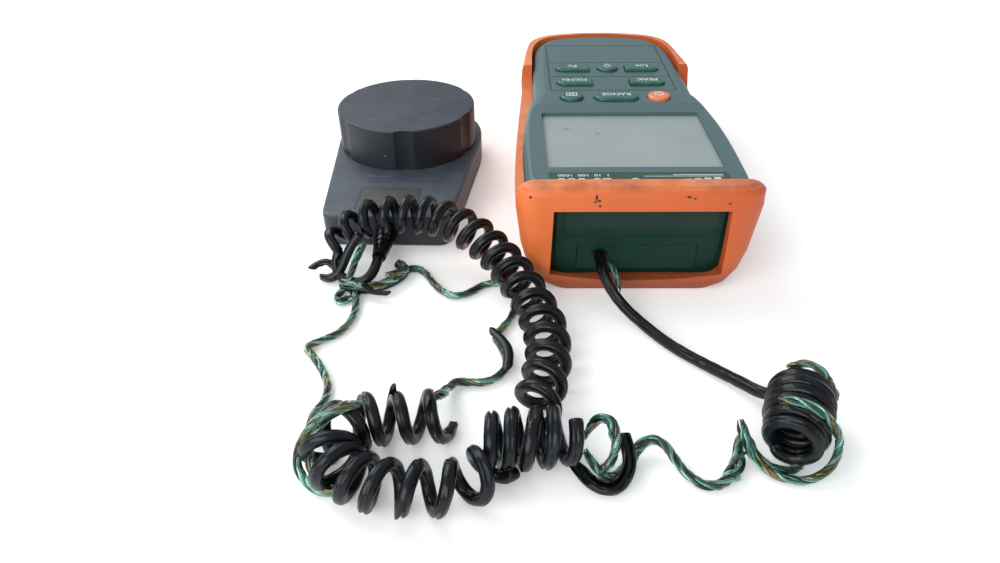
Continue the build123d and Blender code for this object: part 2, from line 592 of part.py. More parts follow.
# ---------------------------------------------------------------- build
meter_parts = {
    "protective_boot": protective_boot, "tilt_stand": tilt_stand, "stand_hinge_pin": stand_hinge_pin,
    "front_housing": front_housing, "rear_housing": rear_housing, "display_window": display_window,
    "lcd_panel": lcd_panel, "lcd_frame": lcd_frame, "zebra_connectors": zebra_connectors,
    "main_board": main_board, "board_components": board_components, "keypad_mat": keypad_mat,
    "buzzer": buzzer, "battery_9v": battery_9v, "battery_snap": battery_snap,
    "battery_wires": battery_wires, "battery_door": battery_door, "battery_door_screw": door_screw,
    "name_plate": name_plate, "lead_end_plate": lead_end_plate, "lead_bush": lead_bush,
}
sensor_parts = {
    "sensor_top_shell": sensor_top_shell, "sensor_bottom_shell": sensor_bottom_shell,
    "dome_ring": dome_ring, "diffuser_dome": diffuser_dome, "spectral_filter": spectral_filter,
    "photocell": photocell, "sensor_board": sensor_board, "board_standoffs": board_standoffs,
    "rating_plate": rating_plate, "sensor_strain_relief": strain_relief, "sensor_cap": sensor_cap,
}
lead_parts = {
    "lead_straight": (straight_lead, jacket_d), "lead_meter_coil": (meter_coil, tight_coil_d),
    "bare_wires_right": (right_wires, wire_d), "split_sleeve": (split_sleeve, jacket_d),
    "curly_lead_middle": (middle_coil, 15.6), "curly_lead_arch": (arch_axis, curl_d),
    "curly_lead_loop": (loop_axis, curl_d), "lead_sensor_tail": (sensor_tail, jacket_d),
    "bare_wires_left": (left_wires, wire_d), "bare_wires_middle": (middle_wires, wire_d),
}

for node, make in meter_parts.items():
    save(make(), node)
for node in key_table:
    save(key(node), node)
for node, make in sensor_parts.items():
    save(sensor_place * make(), node)
for node, (route, diameter) in lead_parts.items():
    save(tube(route, diameter, node), node)

save(screws(screw_spots, (case_bottom + 0.4, 29.0), 1.4, 2.7, 2.2), "housing_screws")
save(screws(board_spots, (board_z[0] - 1.6, 30.6), 1.0, 2.0, 1.6), "board_screws")
save(sensor_place * screws(sensor_screw_spots, (0.4, 10.6), 1.2, 2.3, 1.6), "sensor_screws")
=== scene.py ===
# %% [markdown]
# # A handheld light meter with a worn curly lead
# The meter lies on its back in an orange rubber boot, and its sensor head lies beside it under a
# push-on cap. The two are joined by a curly lead whose jacket has gone brittle and split, so that
# in places only the twisted conductors are left.
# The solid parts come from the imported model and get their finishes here. The lead is made new,
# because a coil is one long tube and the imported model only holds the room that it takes.

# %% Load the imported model
import json
import math

import bpy
import numpy as np
from mathutils import Matrix, Vector


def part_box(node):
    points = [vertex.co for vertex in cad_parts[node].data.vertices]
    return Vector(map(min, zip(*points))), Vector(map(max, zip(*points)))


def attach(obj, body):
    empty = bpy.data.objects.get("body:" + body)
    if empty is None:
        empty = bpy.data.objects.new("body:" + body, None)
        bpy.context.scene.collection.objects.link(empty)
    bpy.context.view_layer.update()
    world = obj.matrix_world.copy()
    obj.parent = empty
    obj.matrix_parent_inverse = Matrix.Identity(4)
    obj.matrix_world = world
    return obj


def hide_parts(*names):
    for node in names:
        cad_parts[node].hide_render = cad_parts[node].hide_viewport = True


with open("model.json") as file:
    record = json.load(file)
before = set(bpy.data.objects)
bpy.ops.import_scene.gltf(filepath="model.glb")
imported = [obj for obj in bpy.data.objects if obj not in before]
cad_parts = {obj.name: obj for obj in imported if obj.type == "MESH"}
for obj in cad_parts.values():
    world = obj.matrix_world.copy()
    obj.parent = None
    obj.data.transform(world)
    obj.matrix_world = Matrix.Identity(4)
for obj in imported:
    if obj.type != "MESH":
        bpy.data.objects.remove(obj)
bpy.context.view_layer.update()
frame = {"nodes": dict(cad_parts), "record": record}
MM = 0.001                                    # one millimetre in scene units

# %% [markdown]
# ## Camera
# The camera stands in front of the lead end and looks down at the table. A camera's own axes are the
# columns of its matrix: right, up, and backwards. Working them out from a turn, a pitch and a small
# roll keeps every angle readable, where a pasted matrix would say nothing.

# %% Camera
CAMERA_PLACE = np.array((-40.85, -270.27, 142.76)) * MM
CAMERA_TURN, CAMERA_PITCH, CAMERA_ROLL = np.radians((-0.912, 35.843, -0.596))
LENS_MM = 26.07


def camera_axes(turn, pitch, roll):
    """Right, up and back: look along +Y, turn about Z, pitch down, then roll about the line of sight."""
    ahead = np.array((math.sin(turn) * math.cos(pitch), math.cos(turn) * math.cos(pitch), -math.sin(pitch)))
    level = np.array((math.cos(turn), -math.sin(turn), 0.0))
    above = np.cross(level, ahead)
    right = math.cos(roll) * level + math.sin(roll) * above
    up = math.cos(roll) * above - math.sin(roll) * level
    return np.column_stack([right, up, -ahead])


camera_data = bpy.data.cameras.new("camera")
camera_data.lens, camera_data.sensor_width = LENS_MM, 36.0
camera_data.clip_start, camera_data.clip_end = 0.01, 10.0
camera = bpy.data.objects.new("camera", camera_data)
bpy.context.scene.collection.objects.link(camera)
camera.matrix_world = Matrix.Translation(CAMERA_PLACE) @ Matrix(
    camera_axes(CAMERA_TURN, CAMERA_PITCH, CAMERA_ROLL).tolist()).to_4x4()
bpy.context.scene.camera = camera
print("camera", LENS_MM, "mm, looking down", round(math.degrees(CAMERA_PITCH), 1), "degrees")

# %% [markdown]
# ## Shader nodes
# Every finish below is a small graph of nodes. One function adds a node, sets what is given and
# links what is given, so that a material reads as a list of steps. Colours are written as the usual
# web codes and turned to linear light once.

# %% Colours and nodes


def linear(code):
    """Web colour to linear light: each channel over 12.92 when dark, else ((c + 0.055) / 1.055) ** 2.4."""
    channels = np.array([int(code[i:i + 2], 16) / 255 for i in (1, 3, 5)])
    light = np.where(channels <= 0.04045, channels / 12.92, ((channels + 0.055) / 1.055) ** 2.4)
    return (*light.tolist(), 1.0)


def add(tree, kind, values=None, **settings):
    """One node: settings are its properties, values its inputs by name or number, a socket being a link."""
    made = tree.nodes.new("ShaderNode" + kind)
    for name, value in settings.items():
        setattr(made, name, value)
    for key, value in (values or {}).items():
        if isinstance(value, bpy.types.NodeSocket):
            tree.links.new(value, made.inputs[key])
        else:
            made.inputs[key].default_value = value
    return made


def ramp(tree, factor, stops):
    """Colour ramp with the given (place, web colour or grey level) stops."""
    made = add(tree, "ValToRGB", {"Fac": factor})
    made.color_ramp.interpolation = "EASE"
    elements = made.color_ramp.elements
    while len(elements) < len(stops):
        elements.new(0.5)
    for element, (place, colour) in zip(elements, stops):
        element.position = place
        element.color = linear(colour) if isinstance(colour, str) else (colour, colour, colour, 1.0)
    return made.outputs["Color"]


def start_material(name, colour, **shader_values):
    """New material: its tree and its shader, with the constant inputs set on the shader itself."""
    material = bpy.data.materials.new(name)
    material.use_nodes = True
    tree = material.node_tree
    shader = tree.nodes["Principled BSDF"]
    shader.inputs["Base Color"].default_value = linear(colour)
    for socket, value in shader_values.items():
        shader.inputs[socket.replace("_", " ")].default_value = value
    material.diffuse_color = linear(colour)
    return material, tree, shader


def object_noise(tree, size_mm, detail=3.0, roughness=0.55, stretch=(1, 1, 1)):
    """Noise whose grains are about size_mm across, read on the object's own coordinates in metres."""
    place = add(tree, "TexCoord").outputs["Object"]
    sized = add(tree, "Mapping", {"Vector": place, "Scale": stretch})
    return add(tree, "TexNoise", {"Vector": sized.outputs[0], "Scale": 1 / (size_mm * MM), "Detail": detail,
                                  "Roughness": roughness}).outputs["Fac"]


def raise_bump(tree, shader, height, distance_mm):
    """Bump the shader's normal by a height map whose full range is distance_mm."""
    bump = add(tree, "Bump", {"Height": height, "Distance": distance_mm * MM, "Strength": 1.0})
    tree.links.new(bump.outputs["Normal"], shader.inputs["Normal"])


def combine(tree, operation, first, second):
    """One sum, product or the like of two values, each a socket or a number."""
    return add(tree, "Math", {0: first, 1: second}, operation=operation).outputs[0]


def times(tree, *factors):
    """Product of masks, sockets or numbers."""
    product = factors[0]
    for factor in factors[1:]:
        product = combine(tree, "MULTIPLY", product, factor)
    return product


def mix_colours(tree, factor, first, second):
    """Colour between two, each a socket or a web code."""
    values = {"Factor": factor, 6: first if not isinstance(first, str) else linear(first),
              7: second if not isinstance(second, str) else linear(second)}
    return add(tree, "Mix", values, data_type="RGBA").outputs[2]


def patch(tree, value, low, high):
    """Mask of the places where a noise is above a level."""
    return add(tree, "MapRange", {"Value": value, "From Min": low, "From Max": high}).outputs["Result"]


# %% [markdown]
# ## Surfaces from arrays
# A tube, a strand and a strip of torn jacket are all a cross-section carried along a line. Each is a
# grid of points, rings by points round, worked out as one array and handed to the mesh in one go.

# %% Meshes from grids


def unit(vectors):
    return vectors / np.maximum(np.linalg.norm(vectors, axis=-1, keepdims=True), 1e-12)


def grid_faces(rings, around, first=0):
    """Quads between neighbouring rings of a closed tube."""
    i, j = np.meshgrid(np.arange(rings - 1), np.arange(around), indexing="ij")
    k = (j + 1) % around
    quads = np.stack([i * around + j, i * around + k, (i + 1) * around + k, (i + 1) * around + j], axis=-1)
    return quads.reshape(-1, 4) + first


def cap_faces(ring_start, around, centre, flip):
    """Triangles from a ring to its middle point, facing along the line or, flipped, against it."""
    j = np.arange(around)
    k = (j + 1) % around
    a, b = (k, j) if flip else (j, k)
    return np.stack([ring_start + a, ring_start + b, np.full(around, centre)], axis=-1)


def build_piece(name, points, quads, triangles, material, uv=None, attribute=None):
    """Mesh object from arrays, smooth shaded, with an optional UV and an optional named value per point."""
    mesh = bpy.data.meshes.new(name)
    corners = np.concatenate([np.asarray(quads).ravel(), np.asarray(triangles).ravel()]).astype(np.int32)
    sizes = np.concatenate([np.full(len(quads), 4), np.full(len(triangles), 3)]).astype(np.int32)
    mesh.vertices.add(len(points))
    mesh.vertices.foreach_set("co", np.asarray(points, np.float32).ravel())
    mesh.loops.add(len(corners))
    mesh.loops.foreach_set("vertex_index", corners)
    mesh.polygons.add(len(sizes))
    mesh.polygons.foreach_set("loop_start", np.concatenate([[0], np.cumsum(sizes)[:-1]]).astype(np.int32))
    mesh.polygons.foreach_set("loop_total", sizes)
    mesh.update(calc_edges=True)
    mesh.validate()
    mesh.shade_smooth()
    if uv is not None:
        layer = mesh.uv_layers.new(name="along")
        layer.data.foreach_set("uv", np.asarray(uv, np.float32)[corners].ravel())
    if attribute is not None:
        label, values = attribute
        mesh.attributes.new(label, "FLOAT", "POINT").data.foreach_set("value", np.asarray(values, np.float32))
    piece = bpy.data.objects.new(name, mesh)
    bpy.context.scene.collection.objects.link(piece)
    mesh.materials.append(material)
    return piece


# %% [markdown]
# ## The lines that the lead follows
# The lead's own line is a NURBS curve guided by chosen points: where it is curly, the points are
# worked out round an axis, and the axis is a NURBS curve of its own. Reading the curve back as a
# bare mesh gives a smooth line, and each point keeps a direction that says which side is outward,
# so that the split in the jacket runs where it should.

# %% Reading a line from a curve
CONTROL_PER_TURN = 14
LINE_STEP = 0.65 * MM
UP = np.array((0.0, 0.0, 1.0))


def smooth_line(points, resolution=8):
    """Points of the NURBS curve (order 3, ends touched) with these control points, in metres."""
    curve = bpy.data.curves.new("route", "CURVE")
    curve.dimensions, curve.resolution_u = "3D", resolution
    spline = curve.splines.new("NURBS")
    spline.points.add(len(points) - 1)
    spline.points.foreach_set("co", np.column_stack([points, np.ones(len(points))]).ravel())
    spline.order_u = 3
    spline.use_endpoint_u = True
    holder = bpy.data.objects.new("route", curve)
    mesh = bpy.data.meshes.new_from_object(holder)
    line = np.empty(3 * len(mesh.vertices))
    mesh.vertices.foreach_get("co", line)
    bpy.data.meshes.remove(mesh)
    bpy.data.objects.remove(holder)
    bpy.data.curves.remove(curve)
    return line.reshape(-1, 3)


def arc_length(line):
    return np.concatenate([[0.0], np.cumsum(np.linalg.norm(np.diff(line, axis=0), axis=1))])


def respaced(line, count, *others):
    """The line again with evenly spaced points, and anything else known at its points."""
    along = arc_length(line)
    at = np.linspace(0, along[-1], count)
    return [np.stack([np.interp(at, along, values[:, k]) for k in range(3)], axis=1)
            for values in (line, *others)]


def level_frame(line):
    """Tangent, level side and top of a line that never stands upright."""
    tangent = unit(np.gradient(line, axis=0))
    side = unit(np.cross(tangent, UP))
    return tangent, side, np.cross(side, tangent)


def wander(count, waves, seed):
    """Smooth values from about -1 to 1: a few sine waves with drawn phases and weights."""
    draw = np.random.default_rng(seed)
    u = np.linspace(0, 1, count)[:, None]
    parts = np.sin(2 * np.pi * (u * waves * draw.uniform(0.4, 1.6, 5) + draw.random(5)))
    return (parts * draw.uniform(0.5, 1.0, 5)).sum(axis=1) / 2.2


def turns_round(axis_mm, radii_mm, turns, start=0.0, unrest=0.05, seed=1, reverse_at=None, spacing=(1, 1)):
    """Control points of a curly stretch, and which way is outward at each.

    Point = axis + radius * (cos(angle) * side + sin(angle) * top). The angle grows evenly with the
    point's number, and the axis is walked in steps in proportion to the spacing of the turns. The turns
    climb from the side over the top, and change hand at reverse_at, as a curly lead's do where it has
    been twisted back."""
    count = int(turns * CONTROL_PER_TURN)
    share = np.linspace(0, 1, count)
    stride = np.interp(share, np.linspace(0, 1, len(spacing)), spacing)
    walked = np.concatenate([[0.0], np.cumsum(stride[1:])])
    path = smooth_line(np.array(axis_mm) * MM)
    along = arc_length(path)
    axis = np.stack([np.interp(walked / walked[-1] * along[-1], along, path[:, k]) for k in range(3)], axis=1)
    _, side, top = level_frame(axis)
    way = np.ones(count) if reverse_at is None else np.tanh((reverse_at - share) * 14)
    swing = np.concatenate([[0.0], np.cumsum(way[:-1])]) * 2 * np.pi / CONTROL_PER_TURN
    angle = math.radians(start) + swing + unrest * 3 * wander(count, turns / 2.5, seed)
    stops = np.linspace(0, 1, len(radii_mm))
    swelling = 1 + unrest * wander(count, turns / 1.5, seed + 7)
    radius = np.interp(share, stops, np.array(radii_mm)) * MM * swelling
    outward = np.cos(angle)[:, None] * side + np.sin(angle)[:, None] * top
    return axis + radius[:, None] * outward, outward


def hand_run(points_mm):
    """A stretch of chosen points, with up as the outward direction at each."""
    points = np.array(points_mm, float) * MM
    return points, np.tile(UP, (len(points), 1))


def lead_line(*stretches):
    """Evenly spaced points of one NURBS curve over all the stretches, and the outward directions."""
    control = np.concatenate([points for points, _ in stretches])
    outward = np.concatenate([out for _, out in stretches])
    line = smooth_line(control, 6)
    own_place = np.clip(np.arange(len(control)) - 0.5, 0, len(control) - 2)
    at = np.linspace(0, len(control) - 2, len(line))
    out = np.stack([np.interp(at, own_place, outward[:, k]) for k in range(3)], axis=1)
    count = max(8, round(arc_length(line)[-1] / LINE_STEP))
    line, out = respaced(line, count, out)
    tangent = unit(np.gradient(line, axis=0))
    out = unit(out - (out * tangent).sum(1, keepdims=True) * tangent)
    return line, out


# %% [markdown]
# ## Jacket, conductors and torn strips
# The jacket is a tube whose section dips where it has split: the dip is a bell curve round the
# tube, and its depth rises and falls along the lead. A conductor bundle is several strands wound
# round the line like a rope. A torn strip is a C-shaped shell, thick as the jacket's wall.

# %% Tube, rope and strip
JACKET_D, WIRE_D = 3.4 * MM, 2.4 * MM
TABLE_CLEARANCE = 0.02 * MM
SPLIT_FADE = 3.0 * MM                         # a split closes this far from either end of its jacket
SPLIT_DIP, LIP_RISE = 0.62, 0.07              # shares of the radius at a full depth of split
LIP_ANGLE, LIP_WIDTH = 0.36, 0.16             # the lips stand this far from the split, in radians
STRAND_COUNT, STRAND_LAY = 6, 15.0 * MM       # strands round a core, and the length of one twist
STRAND_SHARE = 0.215                          # strand radius over bundle diameter
LOOSE_END = 3.0 * MM                          # strands thin out over about this length


def carry_rings(line, out, radius, angles):
    """Ring points: line + radius * (cos(angle) * out + sin(angle) * across), radius being rings by points.
    What would reach under the table is pressed flat on it."""
    tangent = unit(np.gradient(line, axis=0))
    across = np.cross(tangent, out)
    rings = (line[:, None] + radius[..., None] * (np.cos(angles)[..., None] * out[:, None]
                                                  + np.sin(angles)[..., None] * across[:, None]))
    rings[..., 2] = np.maximum(rings[..., 2], TABLE_CLEARANCE)
    return rings


def tube_arrays(line, out, radius, around, first=0):
    """Points, quads, end triangles, UV and ring angles of a closed tube."""
    rings = len(line)
    angles = np.broadcast_to(np.linspace(0, 2 * np.pi, around, endpoint=False), (rings, around))
    shell = carry_rings(line, out, np.broadcast_to(radius, (rings, around)), angles)
    points = np.concatenate([shell.reshape(-1, 3), line[:1], line[-1:]])
    centre = first + rings * around
    triangles = np.concatenate([cap_faces(first, around, centre, True),
                                cap_faces(first + (rings - 1) * around, around, centre + 1, False)])
    along = np.repeat(arc_length(line), around) / MM
    uv = np.column_stack([np.append(along, [along[0], along[-1]]),
                          np.append(np.tile(angles[0] / (2 * np.pi), rings), [0.5, 0.5])])
    return points, grid_faces(rings, around, first), triangles, uv


def jacket_piece(name, line, out, material, split=0.5, split_angle=0.6, seed=3, around=28,
                 diameter=JACKET_D, torn=0.0):
    """Split jacket: radius * (1 - depth * bell(angle)), the depth and the split's place wandering. Over
    the last torn metres the section shrinks by a share that differs round the tube, as where it tore."""
    rings = len(line)
    along = arc_length(line)
    waves = along[-1] / (26 * MM)
    depth = np.clip(split * (0.75 + 0.7 * wander(rings, waves, seed)), 0.0, 0.85)
    depth = depth * np.clip(np.minimum(along, along[-1] - along) / SPLIT_FADE, 0, 1)
    place = split_angle + 0.35 * wander(rings, waves * 0.6, seed + 1)
    width = 0.17 + 0.09 * wander(rings, waves * 2.2, seed + 2)
    angles = np.linspace(0, 2 * np.pi, around, endpoint=False)
    gap = (angles[None] - place[:, None] + np.pi) % (2 * np.pi) - np.pi
    bell = np.exp(-(gap / np.maximum(width, 0.11)[:, None]) ** 2)
    lip = np.exp(-((np.abs(gap) - LIP_ANGLE) / LIP_WIDTH) ** 2)
    rough = 1 + 0.02 * wander(rings, waves * 5, seed + 3)[:, None]
    radius = diameter / 2 * rough * (1 - SPLIT_DIP * depth[:, None] * bell + LIP_RISE * depth[:, None] * lip)
    if torn:
        near_end = np.clip(1 - (along[-1] - along) / torn, 0, 1)[:, None]
        teeth = 0.5 + 0.5 * np.sin(3 * angles + 1.3 * np.sin(2 * angles + seed))
        radius = radius * (1 - near_end ** 1.5 * (0.25 + 0.5 * teeth[None]))
    points, quads, triangles, uv = tube_arrays(line, out, radius, around)
    bare = np.append((depth[:, None] * bell).ravel(), [0.0, 0.0])
    return build_piece(name, points, quads, triangles, material, uv, ("bare", bare))


def rope_piece(name, line, out, material, diameter=WIRE_D, fray=(), seed=5, around=8):
    """Twisted strands: centre = line + spread * (cos(a) * out + sin(a) * across), a = 2 pi (strand / count
    + length / lay). fray lists (place, reach, amount): there the strands stand apart, each its own way.
    Every strand thins to a point over its last few millimetres, where the copper has broken."""
    tangent = unit(np.gradient(line, axis=0))
    across = np.cross(tangent, out)
    along = arc_length(line)
    share = along / along[-1]
    opened = np.zeros(len(line))
    for place, reach, amount in fray:
        opened += amount * np.exp(-((share - place) / reach) ** 2)
    strand_r = diameter * STRAND_SHARE
    to_end = np.minimum(along, along[-1] - along)
    parts, tones, first = [], [], 0
    tone_of = np.random.default_rng(seed + 60).permutation(STRAND_COUNT + 1) / STRAND_COUNT
    for k in range(STRAND_COUNT + 1):
        core = k == STRAND_COUNT
        unevenness = 0.55 * wander(len(line), along[-1] / (11 * MM), seed + k)
        twist = 2 * np.pi * (k / STRAND_COUNT + along / STRAND_LAY) + unevenness
        twist = twist - 2.2 * np.cumsum(opened) / max(opened.sum(), 1e-9) * (opened.max() > 0)
        spread = (0.0 if core else diameter / 2 - strand_r) + opened * MM * (
            0.2 + 0.8 * np.abs(wander(len(line), 3, seed + 20 + k)))
        middle = line + spread[:, None] * (np.cos(twist)[:, None] * out + np.sin(twist)[:, None] * across)
        middle[:, 2] = np.maximum(middle[:, 2], strand_r * 0.8)
        size = strand_r * (1.0 + 0.2 * wander(len(line), along[-1] / (9 * MM), seed + 40 + k))
        size = size * np.clip(to_end / (LOOSE_END * (0.5 + 0.2 * k)), 0.12, 1.0) ** 0.7
        made = tube_arrays(middle, out, size[:, None], around, first)
        parts.append(made)
        tones.append(np.full(len(made[0]), tone_of[k]))
        first += len(made[0])
    points, quads, triangles, uv = [np.concatenate(group) for group in zip(*parts)]
    return build_piece(name, points, quads, triangles, material, uv, ("tone", np.concatenate(tones)))


def strip_piece(name, line, out, material, radius=1.75 * MM, half_angle=1.2, wall=0.55 * MM, taper=(0.15, 0.15),
                curl=0.0, seed=9, around=9, ragged=0.12):
    """C-shaped strip: outer arc at the radius, inner arc a wall inside, the arcs shrinking at the ends."""
    rings = len(line)
    share = np.linspace(0, 1, rings)
    fade = np.clip(np.minimum(share / taper[0], (1 - share) / taper[1]), 0, 1)
    half = half_angle * (0.12 + 0.88 * fade ** 0.6) * (1 + ragged * wander(rings, rings / 9, seed))
    sweep = np.linspace(-1, 1, around)
    angles = half[:, None] * np.concatenate([sweep, sweep[::-1]]) + curl * share[:, None]
    thick = wall * (0.25 + 0.75 * fade)
    radii = np.concatenate([np.tile(np.full(rings, radius)[:, None], around),
                            np.tile((radius - thick)[:, None], around)], axis=1)
    shell = carry_rings(line, out, radii, angles)
    total = 2 * around
    ends = shell[[0, -1]].mean(axis=1)
    points = np.concatenate([shell.reshape(-1, 3), ends])
    centre = rings * total
    triangles = np.concatenate([cap_faces(0, total, centre, True),
                                cap_faces((rings - 1) * total, total, centre + 1, False)])
    along = np.repeat(arc_length(line), total) / MM
    uv = np.column_stack([np.append(along, [along[0], along[-1]]),
                          np.append(angles.ravel() / (2 * np.pi), [0, 0])])
    return build_piece(name, points, grid_faces(rings, total), triangles, material, uv)


def peeled_piece(name, line, out, start, reach, material, lift, seed):
    """Scrap of jacket that has come away: it follows the line from a share on, rising by lift * share^2."""
    first = round(start * (len(line) - 1))
    last = min(len(line), first + round(reach / LINE_STEP))
    share = np.linspace(0, 1, last - first)[:, None]
    raised = line[first:last] + out[first:last] * (0.15 * MM + lift * share ** 2)
    return strip_piece(name, raised, out[first:last], material, half_angle=1.0, taper=(0.2, 0.45),
                       curl=0.8, seed=seed, ragged=0.2)


# %% [markdown]
# ## Finishes of the lead
# The jacket is polyurethane that has hardened: near black, with a waxy shine, a cool dust on top and
# dull grain where it has begun to crumble. Deep in a split the conductors show. The conductors are
# fine enamelled copper in coloured lacquer, tarnished from gold to olive to a bright sea green, and
# they shine like silk because each strand is itself many wires.

# %% Lead materials


def tarnish(tree, own_tone=None):
    """Colour of the conductors: each strand's own tone, drifting in patches a few millimetres long."""
    drift = object_noise(tree, 6.0, 3.0, 0.6)
    value = drift if own_tone is None else patch(tree, combine(tree, "ADD", own_tone, drift), 0.25, 1.45)
    return ramp(tree, value, [(0.10, "#0a1714"), (0.27, "#19564a"), (0.38, "#18251f"), (0.50, "#474323"),
                              (0.64, "#8d7a44"), (0.74, "#2c6f60"), (0.92, "#7db3a4")])


def polyurethane_jacket():
    """Aged polyurethane: near black and waxy, dusty and pitted in places, split down to the wires."""
    material, tree, shader = start_material("polyurethane_jacket", "#0b0d10", Roughness=0.3, IOR=1.45,
                                            Specular_IOR_Level=0.22, Coat_Weight=0.28,
                                            Coat_Roughness=0.07, Coat_Tint=linear("#cfe0ef"))
    bare = add(tree, "Attribute", attribute_name="bare").outputs["Fac"]
    seen = patch(tree, bare, 0.40, 0.60)
    dust = object_noise(tree, 8.0, 6.0, 0.65)
    black = ramp(tree, dust, [(0.36, "#050607"), (0.55, "#0a0d10"), (0.66, "#12171c"), (0.78, "#272d34")])
    deep = mix_colours(tree, patch(tree, object_noise(tree, 2.4, 2.0), 0.5, 0.62), "#050607", tarnish(tree))
    tree.links.new(mix_colours(tree, seen, black, deep), shader.inputs["Base Color"])
    worn = add(tree, "MapRange", {"Value": dust, "From Min": 0.35, "From Max": 0.75,
                                  "To Min": 0.2, "To Max": 0.5})
    tree.links.new(worn.outputs["Result"], shader.inputs["Roughness"])
    raise_bump(tree, shader, object_noise(tree, 1.1, 5.0, 0.7), 0.16)
    return material


def tarnished_strands():
    """Lacquered copper strands: a silky metal, with the fine wires as ridges that run along each strand."""
    material, tree, shader = start_material("tarnished_strands", "#4a5a34", Metallic=0.75, Roughness=0.22,
                                            Coat_Weight=0.8, Coat_Roughness=0.1)
    tone = add(tree, "Attribute", attribute_name="tone").outputs["Fac"]
    tree.links.new(tarnish(tree, tone), shader.inputs["Base Color"])
    place = add(tree, "UVMap", uv_map="along").outputs["UV"]
    wires_round = add(tree, "Mapping", {"Vector": place, "Scale": (0.10, 2.0, 1.0), "Rotation": (0, 0, 0.05)})
    fine = add(tree, "TexWave", {"Vector": wires_round.outputs[0], "Scale": 1.0, "Distortion": 1.2},
               bands_direction="Y").outputs["Fac"]
    raise_bump(tree, shader, fine, 0.10)
    return material


JACKET = polyurethane_jacket()
STRANDS = tarnished_strands()
print("lead finishes:", JACKET.name, STRANDS.name)

# %% [markdown]
# ## Routes of the lead
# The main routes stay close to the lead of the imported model, and the short ones are for loose bundles
# and torn scraps. All are in millimetres. The axis of a curly stretch is a list too, and its turns
# are worked out round it.

# %% Routes in millimetres
STRAIGHT_LEAD = [(-11.8, -75.6, 12.2), (-11.8, -80.4, 12.2), (-11.0, -84.6, 10.4), (-8.6, -88.6, 7.2),
                 (-5.0, -92.6, 4.2), (-0.7, -97.0, 2.2), (4.2, -104.1, 1.8), (9.0, -110.0, 1.8),
                 (13.9, -114.7, 1.8), (18.9, -119.8, 2.2), (23.0, -124.8, 3.2), (26.2, -129.4, 4.2)]
METER_COIL = [(34.8, -133.4, 8.7), (33.0, -139.6, 8.8), (30.4, -145.2, 8.7), (27.2, -151.6, 8.0)]
COIL_WIRES = [(24.8, -143.6, 15.6), (27.6, -145.8, 17.6), (31.6, -148.0, 17.6), (36.6, -149.8, 14.0),
              (38.6, -152.2, 8.4), (35.6, -155.6, 3.0), (29.6, -157.0, 1.5), (23.6, -155.4, 1.5),
              (19.4, -151.0, 2.4), (17.2, -146.6, 6.6), (16.4, -144.4, 9.6)]
FAR_WIRES = [(30.4, -131.8, 15.4), (34.0, -131.0, 16.6), (38.2, -131.4, 15.6), (42.0, -133.0, 11.8),
             (43.4, -135.6, 7.0)]
EXIT_WIRES = [(-10.4, -76.4, 12.6), (-9.0, -78.8, 12.2), (-7.4, -81.6, 10.6), (-6.4, -84.2, 8.2),
              (-6.6, -86.4, 5.8)]
RIGHT_WIRES = [(30.8, -152.6, 2.4), (26.8, -154.3, 1.5), (22.9, -152.8, 1.5), (19.9, -150.0, 2.6),
               (18.2, -145.8, 4.6), (16.6, -146.2, 4.8), (15.1, -151.4, 2.6), (12.4, -156.0, 1.5),
               (7.6, -158.6, 1.3), (3.6, -156.6, 1.5), (0.3, -152.6, 2.4), (-2.2, -147.6, 4.6),
               (-6.0, -145.8, 4.6), (-9.4, -148.6, 2.6), (-12.4, -153.6, 1.5), (-16.6, -156.6, 1.4),
               (-20.0, -153.4, 2.2), (-22.4, -149.6, 4.4)]
SPLIT_SLEEVE = [(-13.2, -147.4, 8.6), (-11.6, -151.6, 6.2), (-12.2, -156.0, 3.2), (-15.6, -159.6, 1.8),
                (-20.0, -158.8, 1.7), (-23.4, -154.8, 1.9), (-25.6, -150.8, 3.2)]
MIDDLE_COIL = [(-25.0, -148.4, 8.0), (-32.0, -149.6, 8.0), (-40.0, -149.0, 8.0), (-47.6, -150.4, 8.0)]
ARCH_AXIS = [(-100.4, -63.6, 8.6), (-97.4, -61.8, 11.4), (-93.6, -60.2, 14.6), (-88.4, -59.2, 17.0),
             (-82.0, -58.6, 17.8), (-75.2, -58.2, 17.8),
             (-68.4, -58.4, 17.6), (-61.6, -60.6, 16.6), (-55.0, -64.4, 15.2), (-48.6, -69.6, 13.0),
             (-42.6, -76.6, 10.6), (-37.6, -85.2, 8.6), (-33.6, -94.4, 7.4), (-30.6, -104.2, 7.1),
             (-29.6, -114.2, 7.0), (-30.6, -124.0, 7.0), (-33.0, -133.0, 7.0), (-34.6, -140.6, 7.4)]
LOOP_AXIS = [(-43.0, -154.6, 7.3), (-48.6, -161.0, 7.1), (-57.0, -163.9, 7.1), (-66.0, -163.7, 7.1),
             (-75.0, -161.6, 7.2), (-82.6, -157.4, 7.8), (-85.0, -149.8, 8.0), (-80.0, -143.0, 7.4),
             (-72.0, -141.4, 7.1), (-63.6, -140.8, 7.1), (-55.6, -141.8, 7.1)]
SENSOR_TAIL = [(-84.95, -67.9, 6.4), (-85.2, -71.2, 6.2), (-86.6, -75.0, 4.0), (-90.6, -76.6, 2.0),
               (-95.6, -74.6, 1.9), (-98.8, -71.8, 3.2), (-99.2, -69.2, 5.8)]
FLAT_TURN = [(-79.4, -65.2, 2.0), (-76.2, -67.4, 1.8), (-76.4, -71.4, 1.8), (-79.6, -75.4, 1.8),
             (-84.0, -78.6, 1.8), (-90.4, -80.2, 1.8), (-96.6, -77.6, 1.8)]
FRONT_TURN = [(-90.6, -66.4, 15.0), (-93.4, -67.8, 11.8), (-95.6, -69.8, 7.6), (-98.0, -72.6, 3.0),
              (-101.6, -73.6, 1.6), (-104.4, -71.8, 1.6)]
